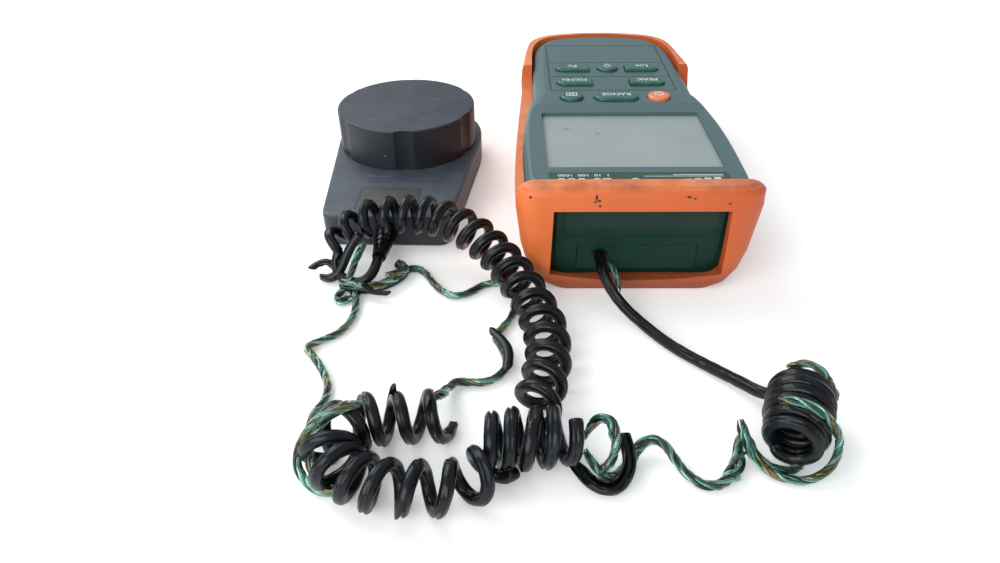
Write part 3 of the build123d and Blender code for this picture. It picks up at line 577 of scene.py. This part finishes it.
SENSOR_STRANDS = [(-88.6, -67.6, 12.6), (-91.4, -70.6, 9.4), (-93.0, -74.0, 5.4), (-94.6, -78.4, 1.8),
                  (-97.4, -83.4, 1.4), (-95.0, -86.6, 1.4), (-91.6, -83.6, 1.4)]
LEFT_SCRAP = [(-108.4, -69.4, 2.0), (-105.0, -66.8, 3.8), (-101.4, -67.4, 3.4), (-96.6, -70.8, 2.0)]
SENSOR_SCRAP = [(-89.0, -79.6, 4.0), (-87.0, -81.8, 2.4), (-83.5, -83.2, 1.7), (-79.0, -83.0, 1.7)]
LEFT_OUTER = [(-79.2, -144.6, 15.4), (-84.6, -148.4, 16.4), (-90.2, -151.6, 12.0), (-92.6, -155.0, 5.4),
              (-89.4, -158.6, 1.6), (-83.0, -161.2, 1.4), (-78.4, -158.6, 1.6)]
LEFT_INNER = [(-77.4, -145.0, 15.6), (-82.4, -148.0, 17.0), (-87.0, -151.4, 14.0), (-89.4, -154.4, 8.0),
              (-87.4, -158.0, 3.0), (-82.0, -159.4, 1.5)]
CORE_KNOT = [(-22.6, -147.4, 6.0), (-20.4, -145.8, 11.0), (-17.0, -147.2, 13.4), (-14.8, -150.4, 10.0),
             (-15.6, -153.6, 5.0), (-18.8, -155.0, 2.0)]
CRESCENT = [(-46.4, -103.2, 3.4), (-42.9, -108.6, 4.4), (-40.6, -114.2, 3.8), (-41.7, -120.4, 2.4)]
LEFT_WIRES = [(-92.0, -76.0, 1.5), (-91.0, -81.6, 1.4), (-89.6, -88.4, 1.4), (-90.0, -95.0, 1.4),
              (-92.6, -101.4, 1.4), (-98.0, -105.0, 1.4), (-101.6, -107.6, 1.4), (-98.6, -111.6, 1.4),
              (-94.6, -117.0, 1.4), (-91.4, -123.4, 1.4), (-90.8, -130.0, 1.4), (-93.4, -135.4, 1.5),
              (-92.8, -141.2, 2.0), (-90.2, -146.0, 3.2)]
MIDDLE_WIRES = [(-82.4, -72.6, 2.6), (-77.8, -70.2, 1.6), (-73.6, -66.2, 1.4), (-69.6, -68.6, 1.4),
                (-66.4, -75.0, 1.4), (-62.6, -80.6, 1.4), (-57.8, -83.2, 1.4), (-53.0, -80.2, 1.4),
                (-49.4, -76.0, 1.4), (-44.0, -75.2, 1.4), (-40.0, -79.6, 1.4), (-38.6, -86.4, 1.4),
                (-40.0, -93.8, 1.4), (-43.4, -99.4, 1.4), (-45.6, -102.6, 1.4), (-43.4, -107.2, 1.4),
                (-41.4, -113.0, 1.4), (-42.2, -118.6, 1.4), (-46.2, -122.4, 1.4), (-51.4, -122.8, 1.4),
                (-56.0, -122.4, 1.5), (-57.6, -126.2, 2.4), (-58.4, -131.0, 5.0), (-60.4, -136.4, 9.0)]


def lay_lead(piece, replaced, with_pieces=()):
    """Puts a stretch of the lead and its extra pieces with the meter, and hides the imported parts that it
    stands for.
    """
    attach(piece, "root")
    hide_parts(*replaced)
    for extra in with_pieces:
        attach(extra, "root")


def bundle(name, points_mm, **settings):
    """Loose strands along chosen points."""
    return rope_piece(name, *lead_line(hand_run(points_mm)), STRANDS, **settings)


def scrap(name, points_mm, **settings):
    """Torn strip of jacket along chosen points."""
    return strip_piece(name, *lead_line(hand_run(points_mm)), JACKET, **settings)


def peeled_scraps(prefix, line, out, peels, seed):
    """Scraps that have come away from a jacket: (share of its length, reach, lift), both in millimetres."""
    return [peeled_piece(f"{prefix}_{number}", line, out, start, reach * MM, JACKET, lift * MM, seed + number)
            for number, (start, reach, lift) in enumerate(peels)]


# %% [markdown]
# ## The straight stretch and the wound coil
# The lead leaves the meter, drops to the table, runs on and climbs behind a coil of six thick turns.
# One tube does both: the points of the coil are simply more points of the same line. Two bare
# bundles have sprung out of the split and go round the coil, and a few strands stand by the bush.

# %% Straight stretch and wound coil
coil_points = turns_round(METER_COIL, (6.6, 7.1, 7.1, 6.9, 6.5, 4.8), 6.1, start=-30, unrest=0.045, seed=11)
line, out = lead_line(hand_run(STRAIGHT_LEAD), coil_points)
wound_lead = jacket_piece("lead_wound_jacket", line, out, JACKET, split=0.6, split_angle=0.3,
                          seed=12, torn=3 * MM)
bundles = [bundle("coil_wires_front", COIL_WIRES, diameter=2.2 * MM, fray=[(0.05, 0.1, 0.3), (0.9, 0.1, 0.5)],
                  seed=13),
           bundle("coil_wires_far", FAR_WIRES, diameter=2.2 * MM, fray=[(0.9, 0.2, 0.4)], seed=14),
           bundle("exit_wires", EXIT_WIRES, diameter=1.7 * MM, fray=[(0.95, 0.4, 0.7)], seed=15)]
lay_lead(wound_lead, ["lead_straight", "lead_meter_coil"],
         with_pieces=bundles)

# %% [markdown]
# ## The curly stretch from the sensor head
# The jacket is whole here apart from a fine split. It starts in the sensor head's relief, goes once
# round on the table and then climbs over the corner of the head in a long arch, whose turns stand
# further apart the nearer they are to the tangle. A flat turn and torn scraps lie by the relief.

# %% Arch
arch_points = turns_round(ARCH_AXIS, (4.2, 5.0, 5.3, 5.2, 5.3, 5.2, 5.2), 18.9, start=0, unrest=0.04, seed=21,
                          spacing=(1.1, 1.1, 1, 1, 1, 1, 1.0, 1.05, 1.3, 1.3, 1.25, 1.3, 1.5))
line, out = lead_line(hand_run(SENSOR_TAIL), arch_points)
arch_lead = jacket_piece("lead_arch_jacket", line, out, JACKET, split=0.5, split_angle=0.5, seed=22)
scraps = [jacket_piece(label, *lead_line(hand_run(points)), JACKET, split=0.7, seed=seed, diameter=size,
                       torn=5 * MM)
          for label, points, size, seed in (("lead_flat_turn", FLAT_TURN, 3.0 * MM, 23),
                                            ("lead_front_turn", FRONT_TURN, 3.2 * MM, 24))]
scraps += [bundle("sensor_wires", SENSOR_STRANDS, fray=[(0.95, 0.12, 0.9)], seed=26),
           scrap("sensor_scrap", SENSOR_SCRAP, half_angle=0.9, seed=30),
           scrap("sensor_scrap_left", LEFT_SCRAP, half_angle=1.3, seed=31),
           bundle("flat_turn_wires", np.array(FLAT_TURN) + (0.4, -0.6, 1.6), diameter=2.8 * MM,
                  fray=[(1.0, 0.15, 0.6)], seed=35)]
lay_lead(arch_lead, ["curly_lead_arch", "lead_sensor_tail"],
         with_pieces=scraps)

# %% [markdown]
# ## The tangle
# Beyond the arch the lead doubles back twice. The turns are larger and no longer even, scraps of the
# jacket have come away from them, and at the left the conductors have sprung out of the split.

# %% Middle cluster and loop
line, out = lead_line(turns_round(MIDDLE_COIL, (6.0, 6.4, 6.4, 6.0), 4.6, start=80, unrest=0.10, seed=31))
middle_lead = jacket_piece("lead_middle_jacket", line, out, JACKET, split=0.75, split_angle=0.2, seed=32,
                           diameter=3.6 * MM, torn=4 * MM)
scraps = peeled_scraps("middle_scrap", line, out, ((0.1, 14, 1.6), (0.45, 12, 1.2), (0.74, 15, 2.0)), 33)
scraps.append(bundle("middle_wires_knot", CORE_KNOT, fray=[(0.5, 0.2, 0.5), (1.0, 0.1, 0.7)], seed=37))
lay_lead(middle_lead, ["curly_lead_middle"],
         with_pieces=scraps)

line, out = lead_line(turns_round(LOOP_AXIS, (5.0, 5.2, 5.2, 5.8, 6.4, 6.0, 5.4, 5.4), 12.6, start=200,
                                  unrest=0.08, seed=41, reverse_at=0.62,
                                  spacing=(1.15, 1.1, 1.0, 0.75, 0.6, 0.6, 0.8, 1.0, 1.1)))
loop_lead = jacket_piece("lead_loop_jacket", line, out, JACKET, split=0.7, split_angle=0.3,
                         seed=42, torn=4 * MM)
scraps = peeled_scraps("loop_scrap", line, out, ((0.22, 12, 1.0), (0.52, 14, 1.5), (0.70, 13, 2.0),
                                                 (0.83, 11, 2.2), (0.93, 12, 1.4)), 43)
scraps += [bundle("loop_wires_outer", LEFT_OUTER, fray=[(1.0, 0.1, 0.4)], seed=53),
           bundle("loop_wires_inner", LEFT_INNER, fray=[(1.0, 0.1, 0.3)], seed=54)]
lay_lead(loop_lead, ["curly_lead_loop"], with_pieces=scraps)

# %% [markdown]
# ## Bare conductors
# Where the jacket has fallen away the twisted strands lie on the table in slack waves. They are
# thinner than the jacket and stand apart where they have been bent.

# %% Bare conductors and the split sleeve
line, out = lead_line(hand_run(RIGHT_WIRES))
right_rope = rope_piece("wires_right", line, out, STRANDS, fray=[(0.32, 0.10, 1.2), (0.78, 0.08, 0.8)], seed=51)
sleeve_line, sleeve_out = lead_line(hand_run(SPLIT_SLEEVE))
sleeve = strip_piece("sleeve_split", sleeve_line, -sleeve_out, JACKET, half_angle=2.3, taper=(0.05, 0.3),
                     seed=53)
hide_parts("split_sleeve")
lay_lead(right_rope, ["bare_wires_right"], with_pieces=[sleeve])

line, out = lead_line(hand_run(LEFT_WIRES))
left_rope = rope_piece("wires_left", line, out, STRANDS, fray=[(0.05, 0.06, 0.8)], seed=61)
lay_lead(left_rope, ["bare_wires_left"])

line, out = lead_line(hand_run(MIDDLE_WIRES))
middle_rope = rope_piece("wires_middle", line, out, STRANDS, fray=[(0.02, 0.05, 0.8), (0.95, 0.05, 0.6)],
                         seed=71)
crescent = scrap("wires_scrap", CRESCENT, half_angle=1.1, seed=73)
lay_lead(middle_rope, ["bare_wires_middle"], with_pieces=[crescent])


# %% [markdown]
# ## Finishes of the meter
# The boot is moulded rubber: warm orange, satin, darker where hands and benches have rubbed dirt
# into the lip, with a few nicks cut into its near wall; painted shade in its colour deepens it towards
# the right and the bottom. The case is ABS with a spark-eroded texture so fine that it reads as a soft
# sheen, dark green on the sides and back; the paler grey-green of the face is dust together with a
# painted sheen. The keys are lacquered silicone.

# %% Masks that several finishes share


def height_mask(tree, low_mm, high_mm, axis="Z"):
    """0 below one height and 1 above the other, smooth between."""
    place = add(tree, "SeparateXYZ", {"Vector": add(tree, "TexCoord").outputs["Object"]}).outputs[axis]
    return add(tree, "MapRange", {"Value": place, "From Min": low_mm * MM, "From Max": high_mm * MM},
               interpolation_type="SMOOTHSTEP").outputs["Result"]


def facing_up(tree, low=0.3, high=0.9):
    """1 where the surface faces the sky, where dust settles."""
    facing = add(tree, "SeparateXYZ", {"Vector": add(tree, "NewGeometry").outputs["Normal"]}).outputs["Z"]
    return patch(tree, facing, low, high)


def nick(tree, place_mm, size_mm, rough):
    """Small mark round a point, longer one way, its edge broken by a noise."""
    place = add(tree, "TexCoord").outputs["Object"]
    middle, scale = tuple(v * MM for v in place_mm), tuple(1 / (v * MM) for v in size_mm)
    off = add(tree, "VectorMath", {0: place, 1: middle}, operation="SUBTRACT").outputs[0]
    sized = add(tree, "VectorMath", {0: off, 1: scale}, operation="MULTIPLY")
    far = add(tree, "VectorMath", {0: sized.outputs[0]}, operation="LENGTH").outputs["Value"]
    return patch(tree, combine(tree, "ADD", far, rough), 1.45, 1.25)


# %% Rubber of the boot
NICKS = [((-14.4, -77.8, 35.0), (0.35, 1.2, 0.8)), ((-13.6, -77.8, 34.0), (0.6, 1.2, 0.35)),
         ((-14.8, -77.8, 33.6), (0.45, 1.2, 0.3)), ((-13.2, -78.0, 32.2), (0.5, 1.2, 0.3)),
         ((13.4, -77.8, 35.2), (0.7, 1.2, 0.3)), ((15.2, -77.8, 34.7), (0.55, 1.2, 0.25)),
         ((-34.4, -77.2, 34.6), (0.4, 1.2, 0.4)), ((26.0, -77.8, 33.0), (0.45, 1.2, 0.3))]


def moulded_rubber(name, colour, dark, dusty, deep):
    """Satin rubber with painted shade, its colour deepening to the right and towards the bottom: grime in
    patches, dust on top, nicks.
    """
    material, tree, shader = start_material(name, colour, Roughness=0.5, IOR=1.5)
    fading = object_noise(tree, 30.0, 3.0)
    body = mix_colours(tree, patch(tree, fading, 0.35, 0.7), dark, colour)
    # painted shade: the colour deepens from left to right across the boot, where the light falls off
    body = mix_colours(tree, times(tree, height_mask(tree, -30.0, 40.0, "X"), 0.75), body, deep)
    dust = times(tree, facing_up(tree, 0.55, 1.0), patch(tree, object_noise(tree, 7.0, 5.0), 0.2, 0.75), 0.75)
    body = mix_colours(tree, dust, body, dusty)
    lip = times(tree, height_mask(tree, 35.8, 37.9), patch(tree, object_noise(tree, 9.0, 5.0, 0.6), 0.40, 0.72),
                height_mask(tree, -68.0, -76.0, "Y"), 0.62)
    body = mix_colours(tree, lip, body, "#6a3a28")
    # painted shade: the rubber darkens towards the bottom of the boot, where less light falls
    painted_shade_low = times(tree, height_mask(tree, 11.0, 0.0), 0.75)
    body = mix_colours(tree, painted_shade_low, body, "#6a2b17")
    speck = times(tree, patch(tree, object_noise(tree, 1.1, 2.0), 0.70, 0.76), 0.5)
    body = mix_colours(tree, speck, body, "#7a3a20")
    rough = times(tree, object_noise(tree, 0.8, 3.0), 0.5)
    cut = 0.0
    for place, size in NICKS:
        cut = combine(tree, "MAXIMUM", cut, nick(tree, place, size, rough))
    body = mix_colours(tree, cut, body, "#241611")
    tree.links.new(body, shader.inputs["Base Color"])
    sheen = add(tree, "MapRange", {"Value": object_noise(tree, 3.0, 4.0), "To Min": 0.42, "To Max": 0.6})
    tree.links.new(sheen.outputs["Result"], shader.inputs["Roughness"])
    raise_bump(tree, shader, combine(tree, "SUBTRACT", object_noise(tree, 0.6, 3.0), cut), 0.05)
    return material


# %% Plastics of the case


ABS_GRAIN_MM, ABS_DEPTH_MM = 0.35, 0.02
FACE_EDGE_MM = (32.0, 33.2)                   # between these heights the face colour gives way to the side's


def textured_abs(name, colour, side_colour=None, roughness=0.45, reflection=0.5):
    """ABS with a fine eroded texture; a side colour, if given, covers what lies below the face's edge."""
    material, tree, shader = start_material(name, colour, Roughness=roughness, IOR=1.53,
                                            Specular_IOR_Level=reflection)
    tone = object_noise(tree, 14.0, 4.0)
    body = mix_colours(tree, times(tree, tone, 0.35), colour, "#12241e" if side_colour is None else "#4c6265")
    # above the face's edge the paler colour is dust together with a painted sheen; below it is the plastic's
    # own colour
    if side_colour is not None:
        body = mix_colours(tree, height_mask(tree, *FACE_EDGE_MM), side_colour, body)
    grime = times(tree, patch(tree, object_noise(tree, 2.2, 5.0, 0.7), 0.60, 0.75), 0.35)
    body = mix_colours(tree, grime, body, "#3c4a49" if side_colour is not None else "#101a18")
    tree.links.new(body, shader.inputs["Base Color"])
    raise_bump(tree, shader, object_noise(tree, ABS_GRAIN_MM, 2.0), ABS_DEPTH_MM)
    return material


def lacquered_silicone(name, colour, edge):
    """Silicone key under lacquer: a soft gloss, the colour paler where thumbs have polished the crown."""
    material, tree, shader = start_material(name, colour, Roughness=0.32, IOR=1.45, Coat_Weight=0.25,
                                            Coat_Roughness=0.2)
    body = mix_colours(tree, patch(tree, object_noise(tree, 3.0, 4.0), 0.4, 0.7), colour, edge)
    tree.links.new(body, shader.inputs["Base Color"])
    raise_bump(tree, shader, object_noise(tree, 0.5, 2.0), 0.02)
    return material


def plain_finish(name, colour, other, size_mm=4.0, depth_mm=0.02, **shader_values):
    """A finish with two tones in patches of a given size, and a fine grain half a millimetre across."""
    material, tree, shader = start_material(name, colour, **shader_values)
    body = mix_colours(tree, patch(tree, object_noise(tree, size_mm, 4.0), 0.35, 0.65), colour, other)
    tree.links.new(body, shader.inputs["Base Color"])
    raise_bump(tree, shader, object_noise(tree, 0.5, 3.0), depth_mm)
    return material


def clouded_acrylic():
    """Acrylic lens over the blank display, gone cloudy: flat grey with a slight colour drift and specks."""
    material, tree, shader = start_material("clouded_acrylic", "#8e9896", Roughness=0.3, IOR=1.49,
                                            Coat_Weight=0.35, Coat_Roughness=0.25)
    drift = mix_colours(tree, patch(tree, object_noise(tree, 22.0, 2.0), 0.3, 0.7), "#8a9496", "#929c97")
    rough = times(tree, object_noise(tree, 0.5, 2.0), 0.5)
    marks = combine(tree, "MAXIMUM", nick(tree, (-20.4, -27.4, 34.7), (1.3, 0.35, 1.0), rough),
                    nick(tree, (-9.6, -31.2, 34.7), (0.5, 0.5, 1.0), rough))
    tree.links.new(mix_colours(tree, marks, drift, "#5d686c"), shader.inputs["Base Color"])
    raise_bump(tree, shader, object_noise(tree, 1.5, 2.0), 0.01)
    return material


def dusty_plastic(name, colour, grey, dust_share=0.55, roughness=0.5):
    """Black moulding under dust: paler on top, with faint rubbed streaks and a few white specks."""
    material, tree, shader = start_material(name, colour, Roughness=roughness, IOR=1.5)
    film = times(tree, facing_up(tree, 0.2, 1.0), patch(tree, object_noise(tree, 16.0, 6.0, 0.65), 0.15, 0.8),
                 dust_share)
    body = mix_colours(tree, film, colour, grey)
    streaks = times(tree, facing_up(tree, 0.6, 1.0), dust_share,
                    patch(tree, object_noise(tree, 1.2, 4.0, 0.7, (0.12, 1.0, 1.0)), 0.6, 0.75))
    body = mix_colours(tree, streaks, body, "#7b828b")
    specks = patch(tree, object_noise(tree, 1.6, 1.0), 0.80, 0.84)
    body = mix_colours(tree, times(tree, specks, 0.5), body, "#a9adb0")
    tree.links.new(body, shader.inputs["Base Color"])
    gloss = add(tree, "MapRange", {"Value": object_noise(tree, 6.0, 4.0), "To Min": roughness - 0.12,
                                   "To Max": roughness + 0.12})
    tree.links.new(gloss.outputs["Result"], shader.inputs["Roughness"])
    raise_bump(tree, shader, object_noise(tree, 0.5, 3.0), 0.04)
    return material


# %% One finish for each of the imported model's nodes
FINISHES = {
    # the last colour of the boot is painted shade for its right side
    "boot_rubber": moulded_rubber("moulded_rubber_orange", "#e2753a", "#d4672d", "#dd9870", "#bd4c17"),
    "stand_plastic": plain_finish("moulded_rubber_stand", "#c2562a", "#b24c24", 9.0, Roughness=0.5),
    # the grey-green of the face is dust and a painted sheen over the dark green side colour
    "face_plastic": textured_abs("textured_abs_grey_green", "#506668", side_colour="#0b2a20", reflection=0.3),
    "back_plastic": textured_abs("textured_abs_dark_green", "#0b3326", roughness=0.5, reflection=0.16),
    "window_acrylic": clouded_acrylic(),
    "lcd_glass": plain_finish("display_glass", "#9aa5a0", "#8f9b97", 12.0, Roughness=0.1),
    "dark_plastic": plain_finish("moulded_abs_black", "#17191a", "#1f2223", 5.0, Roughness=0.5),
    "connector_rubber": plain_finish("striped_elastomer", "#8c8c88", "#3a3a3a", 0.4, Roughness=0.6),
    "board_laminate": plain_finish("solder_masked_laminate", "#1b5a34", "#164a2b", 1.2, Roughness=0.35),
    "chip_plastic": plain_finish("moulded_epoxy", "#1c1c1e", "#242427", 2.0, Roughness=0.45),
    "mat_silicone": plain_finish("silicone_mat", "#1d4f45", "#18453c", 4.0, Roughness=0.4),
    "key_rubber": lacquered_silicone("lacquered_silicone_green", "#1a5246", "#276558"),
    "key_orange": lacquered_silicone("lacquered_silicone_orange", "#d9713f", "#e08a5c"),
    "battery_jacket": plain_finish("printed_steel_jacket", "#232427", "#3a3226", 9.0, Metallic=0.4,
                                   Roughness=0.35),
    "wire_pvc": plain_finish("extruded_pvc", "#8c1c1c", "#7a1616", 3.0, Roughness=0.35),
    "screw_steel": plain_finish("zinc_plated_steel", "#a7a9ab", "#8f9194", 0.8, Metallic=1.0, Roughness=0.3),
    "plate_foil": plain_finish("printed_foil_green", "#2c4a36", "#27422f", 6.0, Roughness=0.3),
    "plate_film": plain_finish("printed_film_faded", "#3d3b3a", "#494644", 5.0, Roughness=0.4),
    "sensor_plastic": dusty_plastic("dusty_abs_black", "#23282f", "#5f6976"),
    "dome_acrylic": plain_finish("opal_acrylic", "#ecece6", "#e4e4de", 8.0, Roughness=0.25,
                                 Subsurface_Weight=0.2, Subsurface_Scale=0.002),
    "filter_glass": plain_finish("green_filter_glass", "#6fae86", "#66a47d", 5.0, Roughness=0.05,
                                 Transmission_Weight=0.8),
    "cell_can": plain_finish("plated_can", "#b9bbbd", "#a5a7aa", 1.5, Metallic=1.0, Roughness=0.25),
    "standoff_brass": plain_finish("turned_brass", "#c9a24d", "#b58f42", 1.0, Metallic=1.0, Roughness=0.3),
    "lead_jacket": JACKET,
    "wire_copper": STRANDS,
}
CAP_PLASTIC = dusty_plastic("dusty_abs_cap", "#151b23", "#414a55", 0.70, 0.5)


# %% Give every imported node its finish
slot_of = {entry["node"]: entry["material_slot"] for entry in frame["record"]["subparts"]}
for name, node in frame["nodes"].items():
    finish = CAP_PLASTIC if name == "sensor_cap" else FINISHES[slot_of[name]]
    node.data.materials.clear()
    node.data.materials.append(finish)
print(len(slot_of), "nodes finished from", len(FINISHES), "finishes")

# %% [markdown]
# ## Printed legends
# Screen print is a film of ink a few hundredths of a millimetre thick. Each legend is real geometry
# lying on its key, made from a font outline or from a few arcs, so it rides with the key and stays
# sharp from any distance. The legends are plain function words, units and numbers.

# %% Ink and legends
INK = plain_finish("screen_print_white", "#d8dedb", "#b9c2bf", 0.8, 0.005, Roughness=0.5)
ORANGE_KEY_INK = plain_finish("screen_print_cream", "#f1d9c8", "#e3c4b0", 0.8, 0.005, Roughness=0.5)
INK_THICKNESS = 0.03 * MM


def lay_flat(name, points, faces, place_mm, turned, material, body, slot):
    """Moves a flat outline to its place; turned swings it half round, to be read from the far end."""
    way = -1.0 if turned else 1.0
    mesh = bpy.data.meshes.new(name)
    placed = np.array(points, float) * (way, way, 1.0) + np.array(place_mm) * MM
    mesh.from_pydata(placed.tolist(), [], [list(face) for face in faces])
    mesh.update()
    mesh.materials.append(material)
    piece = bpy.data.objects.new(name, mesh)
    film = piece.modifiers.new("film", "SOLIDIFY")
    film.thickness, film.offset = INK_THICKNESS, 0.0
    bpy.context.scene.collection.objects.link(piece)
    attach(piece, body)
    return piece


def printed_words(name, words, place_mm, height_mm, width_mm, body, slot):
    """Words in the plain built-in font, squeezed to a width, centred on a place, read from the far end."""
    font = bpy.data.curves.new(name, "FONT")
    font.body, font.size, font.extrude = words, 1.0, 0.0
    font.align_x, font.align_y = "CENTER", "CENTER"
    font.offset = 0.012
    holder = bpy.data.objects.new(name, font)
    mesh = bpy.data.meshes.new_from_object(holder)
    points = np.array([v.co for v in mesh.vertices])
    faces = [tuple(p.vertices) for p in mesh.polygons]
    bpy.data.meshes.remove(mesh)
    bpy.data.objects.remove(holder)
    bpy.data.curves.remove(font)
    low, high = points.min(0), points.max(0)
    points = (points - (low + high) / 2) / np.maximum(high - low, 1e-9) * (width_mm * MM, height_mm * MM, 0.0)
    return lay_flat(name, points, faces, place_mm, True, INK, body, slot)


def arc_band(inner, outer, start, end, count=24):
    """Flat band between two radii and two angles, in metres about the middle: rows of (cos, sin) * radius."""
    angles = np.radians(np.linspace(start, end, count))
    ring = np.column_stack([np.cos(angles), np.sin(angles), np.zeros(count)])
    i = np.arange(count - 1)
    faces = np.column_stack([i, i + count, i + count + 1, i + 1])
    return np.concatenate([ring * inner * MM, ring * outer * MM]), faces


def bar(x_mm, y_mm):
    """Flat rectangle between two limits each way."""
    return np.array([(x, y, 0.0) for x, y in ((x_mm[0], y_mm[0]), (x_mm[1], y_mm[0]), (x_mm[1], y_mm[1]),
                                              (x_mm[0], y_mm[1]))]) * MM, np.array([(0, 1, 2, 3)])


def joined(*shapes):
    """Several flat shapes as one."""
    points, faces, first = [], [], 0
    for shape_points, shape_faces in shapes:
        points.append(shape_points)
        faces += [tuple(int(k) + first for k in face) for face in shape_faces]
        first += len(shape_points)
    return np.concatenate(points), faces


LEGEND_SHIFT_MM = 0.4                         # the legends sit a little to the far side of the middle


def key_top(key):
    """Place of the legend on a key's top, just above the surface."""
    low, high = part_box(key)
    middle = (low + high) / 2 / MM
    return middle.x, middle.y + LEGEND_SHIFT_MM, high.z / MM + INK_THICKNESS / MM


WORDS = {"key_footcandle": ("Fc", 3.6), "key_lux": ("Lux", 5.2), "key_max_min": ("MX/MN", 9.6),
         "key_peak": ("PEAK", 8.2), "key_range": ("RANGE", 11.0)}
for key, (words, width) in WORDS.items():
    printed_words("legend_" + key[4:], words, key_top(key), 2.5, width, key, "key_rubber")
lay_flat("legend_power", *joined(arc_band(1.25, 1.75, 125, 415), bar((-0.25, 0.25), (0.4, 2.1))),
         key_top("key_power"), True, ORANGE_KEY_INK, "key_power", "key_orange")
lay_flat("legend_hold", *joined(bar((-2.1, 2.1), (-1.5, -1.1)), bar((-2.1, 2.1), (1.1, 1.5)),
                                bar((-2.1, -1.7), (-1.1, 1.1)), bar((1.7, 2.1), (-1.1, 1.1)),
                                bar((-0.9, -0.5), (-1.1, 1.1)), bar((0.5, 0.9), (-1.1, 1.1)),
                                bar((-0.5, 0.5), (-0.2, 0.2))),
         key_top("key_hold"), True, INK, "key_hold", "key_rubber")
diamond = [arc_band(1.2, 1.75, quarter, quarter + 90, 2) for quarter in (0, 90, 180, 270)]
lay_flat("legend_zero", *joined(*diamond, bar((-0.8, 0.8), (-2.0, -1.6))), key_top("key_zero"), True, INK,
         "key_zero", "key_rubber")

# %% Print on the plate above the display
plate_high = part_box("name_plate")[1]
plate_top = plate_high.z / MM + INK_THICKNESS / MM
far_edge = plate_high.y / MM
printed_words("plate_scale", "1  10  100  1000", (-17.5, far_edge - 1.9, plate_top), 1.5, 16.0, "root",
              "plate_foil")
printed_words("plate_range", "0 - 20 000", (-13.0, far_edge - 5.4, plate_top), 3.2, 26.0, "root", "plate_foil")
level_bars = [bar((1.5 + 3.1 * step, 3.6 + 3.1 * step), (-1.6, -0.6 + 0.32 * step)) for step in range(8)]
rules = [bar((1.5, 26.4), (2.3, 2.6)), bar((10.8, 26.4), (3.2, 3.6))]
lay_flat("plate_bars", *joined(*level_bars, *rules), (0.0, far_edge - 5.0, plate_top), False, INK, "root",
         "plate_foil")

# %% [markdown]
# ## Lines moulded in the lead end
# The end panel has a fine raised line, bent like a tray, above the blanking plate. It is a thin round
# bead: two straight sides, two quarter circles and a long floor, carried as a tube.

# %% Raised line on the end panel
LINE_HALF, LINE_TOP, LINE_FLOOR, LINE_CORNER, BEAD_R = 24.3, 28.2, 19.2, 4.0, 0.22


def tray_line(half, top, floor, corner, middle_x, y_mm):
    """U in the XZ plane: down one side, a quarter circle, along the floor, a quarter circle, up again."""
    bend = np.radians(np.linspace(180, 270, 12))
    left = np.column_stack([-half + corner + corner * np.cos(bend), floor + corner + corner * np.sin(bend)])
    right = left[::-1] * (-1, 1)
    sides = [np.array([[-half, top]]), left, right, np.array([[half, top]])]
    flat = np.concatenate(sides)
    return np.column_stack([flat[:, 0] + middle_x, np.full(len(flat), y_mm), flat[:, 1]]) * MM


end_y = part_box("rear_housing")[0].y / MM
bead_line = tray_line(LINE_HALF, LINE_TOP, LINE_FLOOR, LINE_CORNER, 0.5, end_y + 0.05)
bead_out = np.tile((0.0, -1.0, 0.0), (len(bead_line), 1))
points, quads, triangles, uv = tube_arrays(bead_line, bead_out, BEAD_R * MM, 8)
bead = build_piece("end_panel_bead", points, quads, triangles, FINISHES["back_plastic"])
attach(bead, "root")
print("legends and moulded lines done")

# %% [markdown]
# ## Table and light
# The table is plain and pale. The light is that of a bright room: a wide window behind and to the
# left, and the room itself in front, weaker and from the left too, so that right-hand and lower
# sides fall off softly and glossy parts pick up long pale highlights. The stronger fall-off on the
# boot's right and lower sides is painted shade in the rubber's colour.

# %% Table


TABLE_HALF, TABLE_DROP = 3.0, 0.05 * MM


def stage_floor():
    """A flat square just under everything that stands on the table, with a little light of its own."""
    material, _, _ = start_material("white_laminate", "#f4f4f2", Roughness=0.8,
                                    Emission_Color=(1.0, 1.0, 1.0, 1.0), Emission_Strength=0.22)
    corners = np.array([(-1, -1, 0), (1, -1, 0), (1, 1, 0), (-1, 1, 0)]) * TABLE_HALF - (0, 0, TABLE_DROP)
    floor = build_piece("table_top", corners, [(0, 1, 2, 3)], np.zeros((0, 3), int), material)


stage_floor()

# %% Light
ROOM_STRENGTH = 0.57
world = bpy.data.worlds.new("bright_room")
world.use_nodes = True
world.node_tree.nodes["Background"].inputs["Color"].default_value = (0.90, 0.95, 1.0, 1.0)
world.node_tree.nodes["Background"].inputs["Strength"].default_value = ROOM_STRENGTH
bpy.context.scene.world = world
bpy.context.scene.view_settings.view_transform = "Standard"


def soft_box(name, place_mm, aim_mm, size_mm, power, colour=(1.0, 1.0, 1.0)):
    """Rectangular lamp of a real size, turned to face a point."""
    lamp = bpy.data.lights.new(name, "AREA")
    lamp.shape, lamp.size, lamp.size_y, lamp.energy = "RECTANGLE", size_mm[0] * MM, size_mm[1] * MM, power
    lamp.color = colour
    holder = bpy.data.objects.new(name, lamp)
    bpy.context.scene.collection.objects.link(holder)
    place = Vector(place_mm) * MM
    turn = (Vector(aim_mm) * MM - place).to_track_quat("-Z", "Y").to_matrix().to_4x4()
    holder.matrix_world = Matrix.Translation(place) @ turn


soft_box("window_light", (-650, 500, 800), (-30, -40, 0), (900, 700), 8.5, (0.96, 0.98, 1.0))
soft_box("room_fill", (-500, -700, 500), (-30, -60, 0), (900, 600), 6.5)
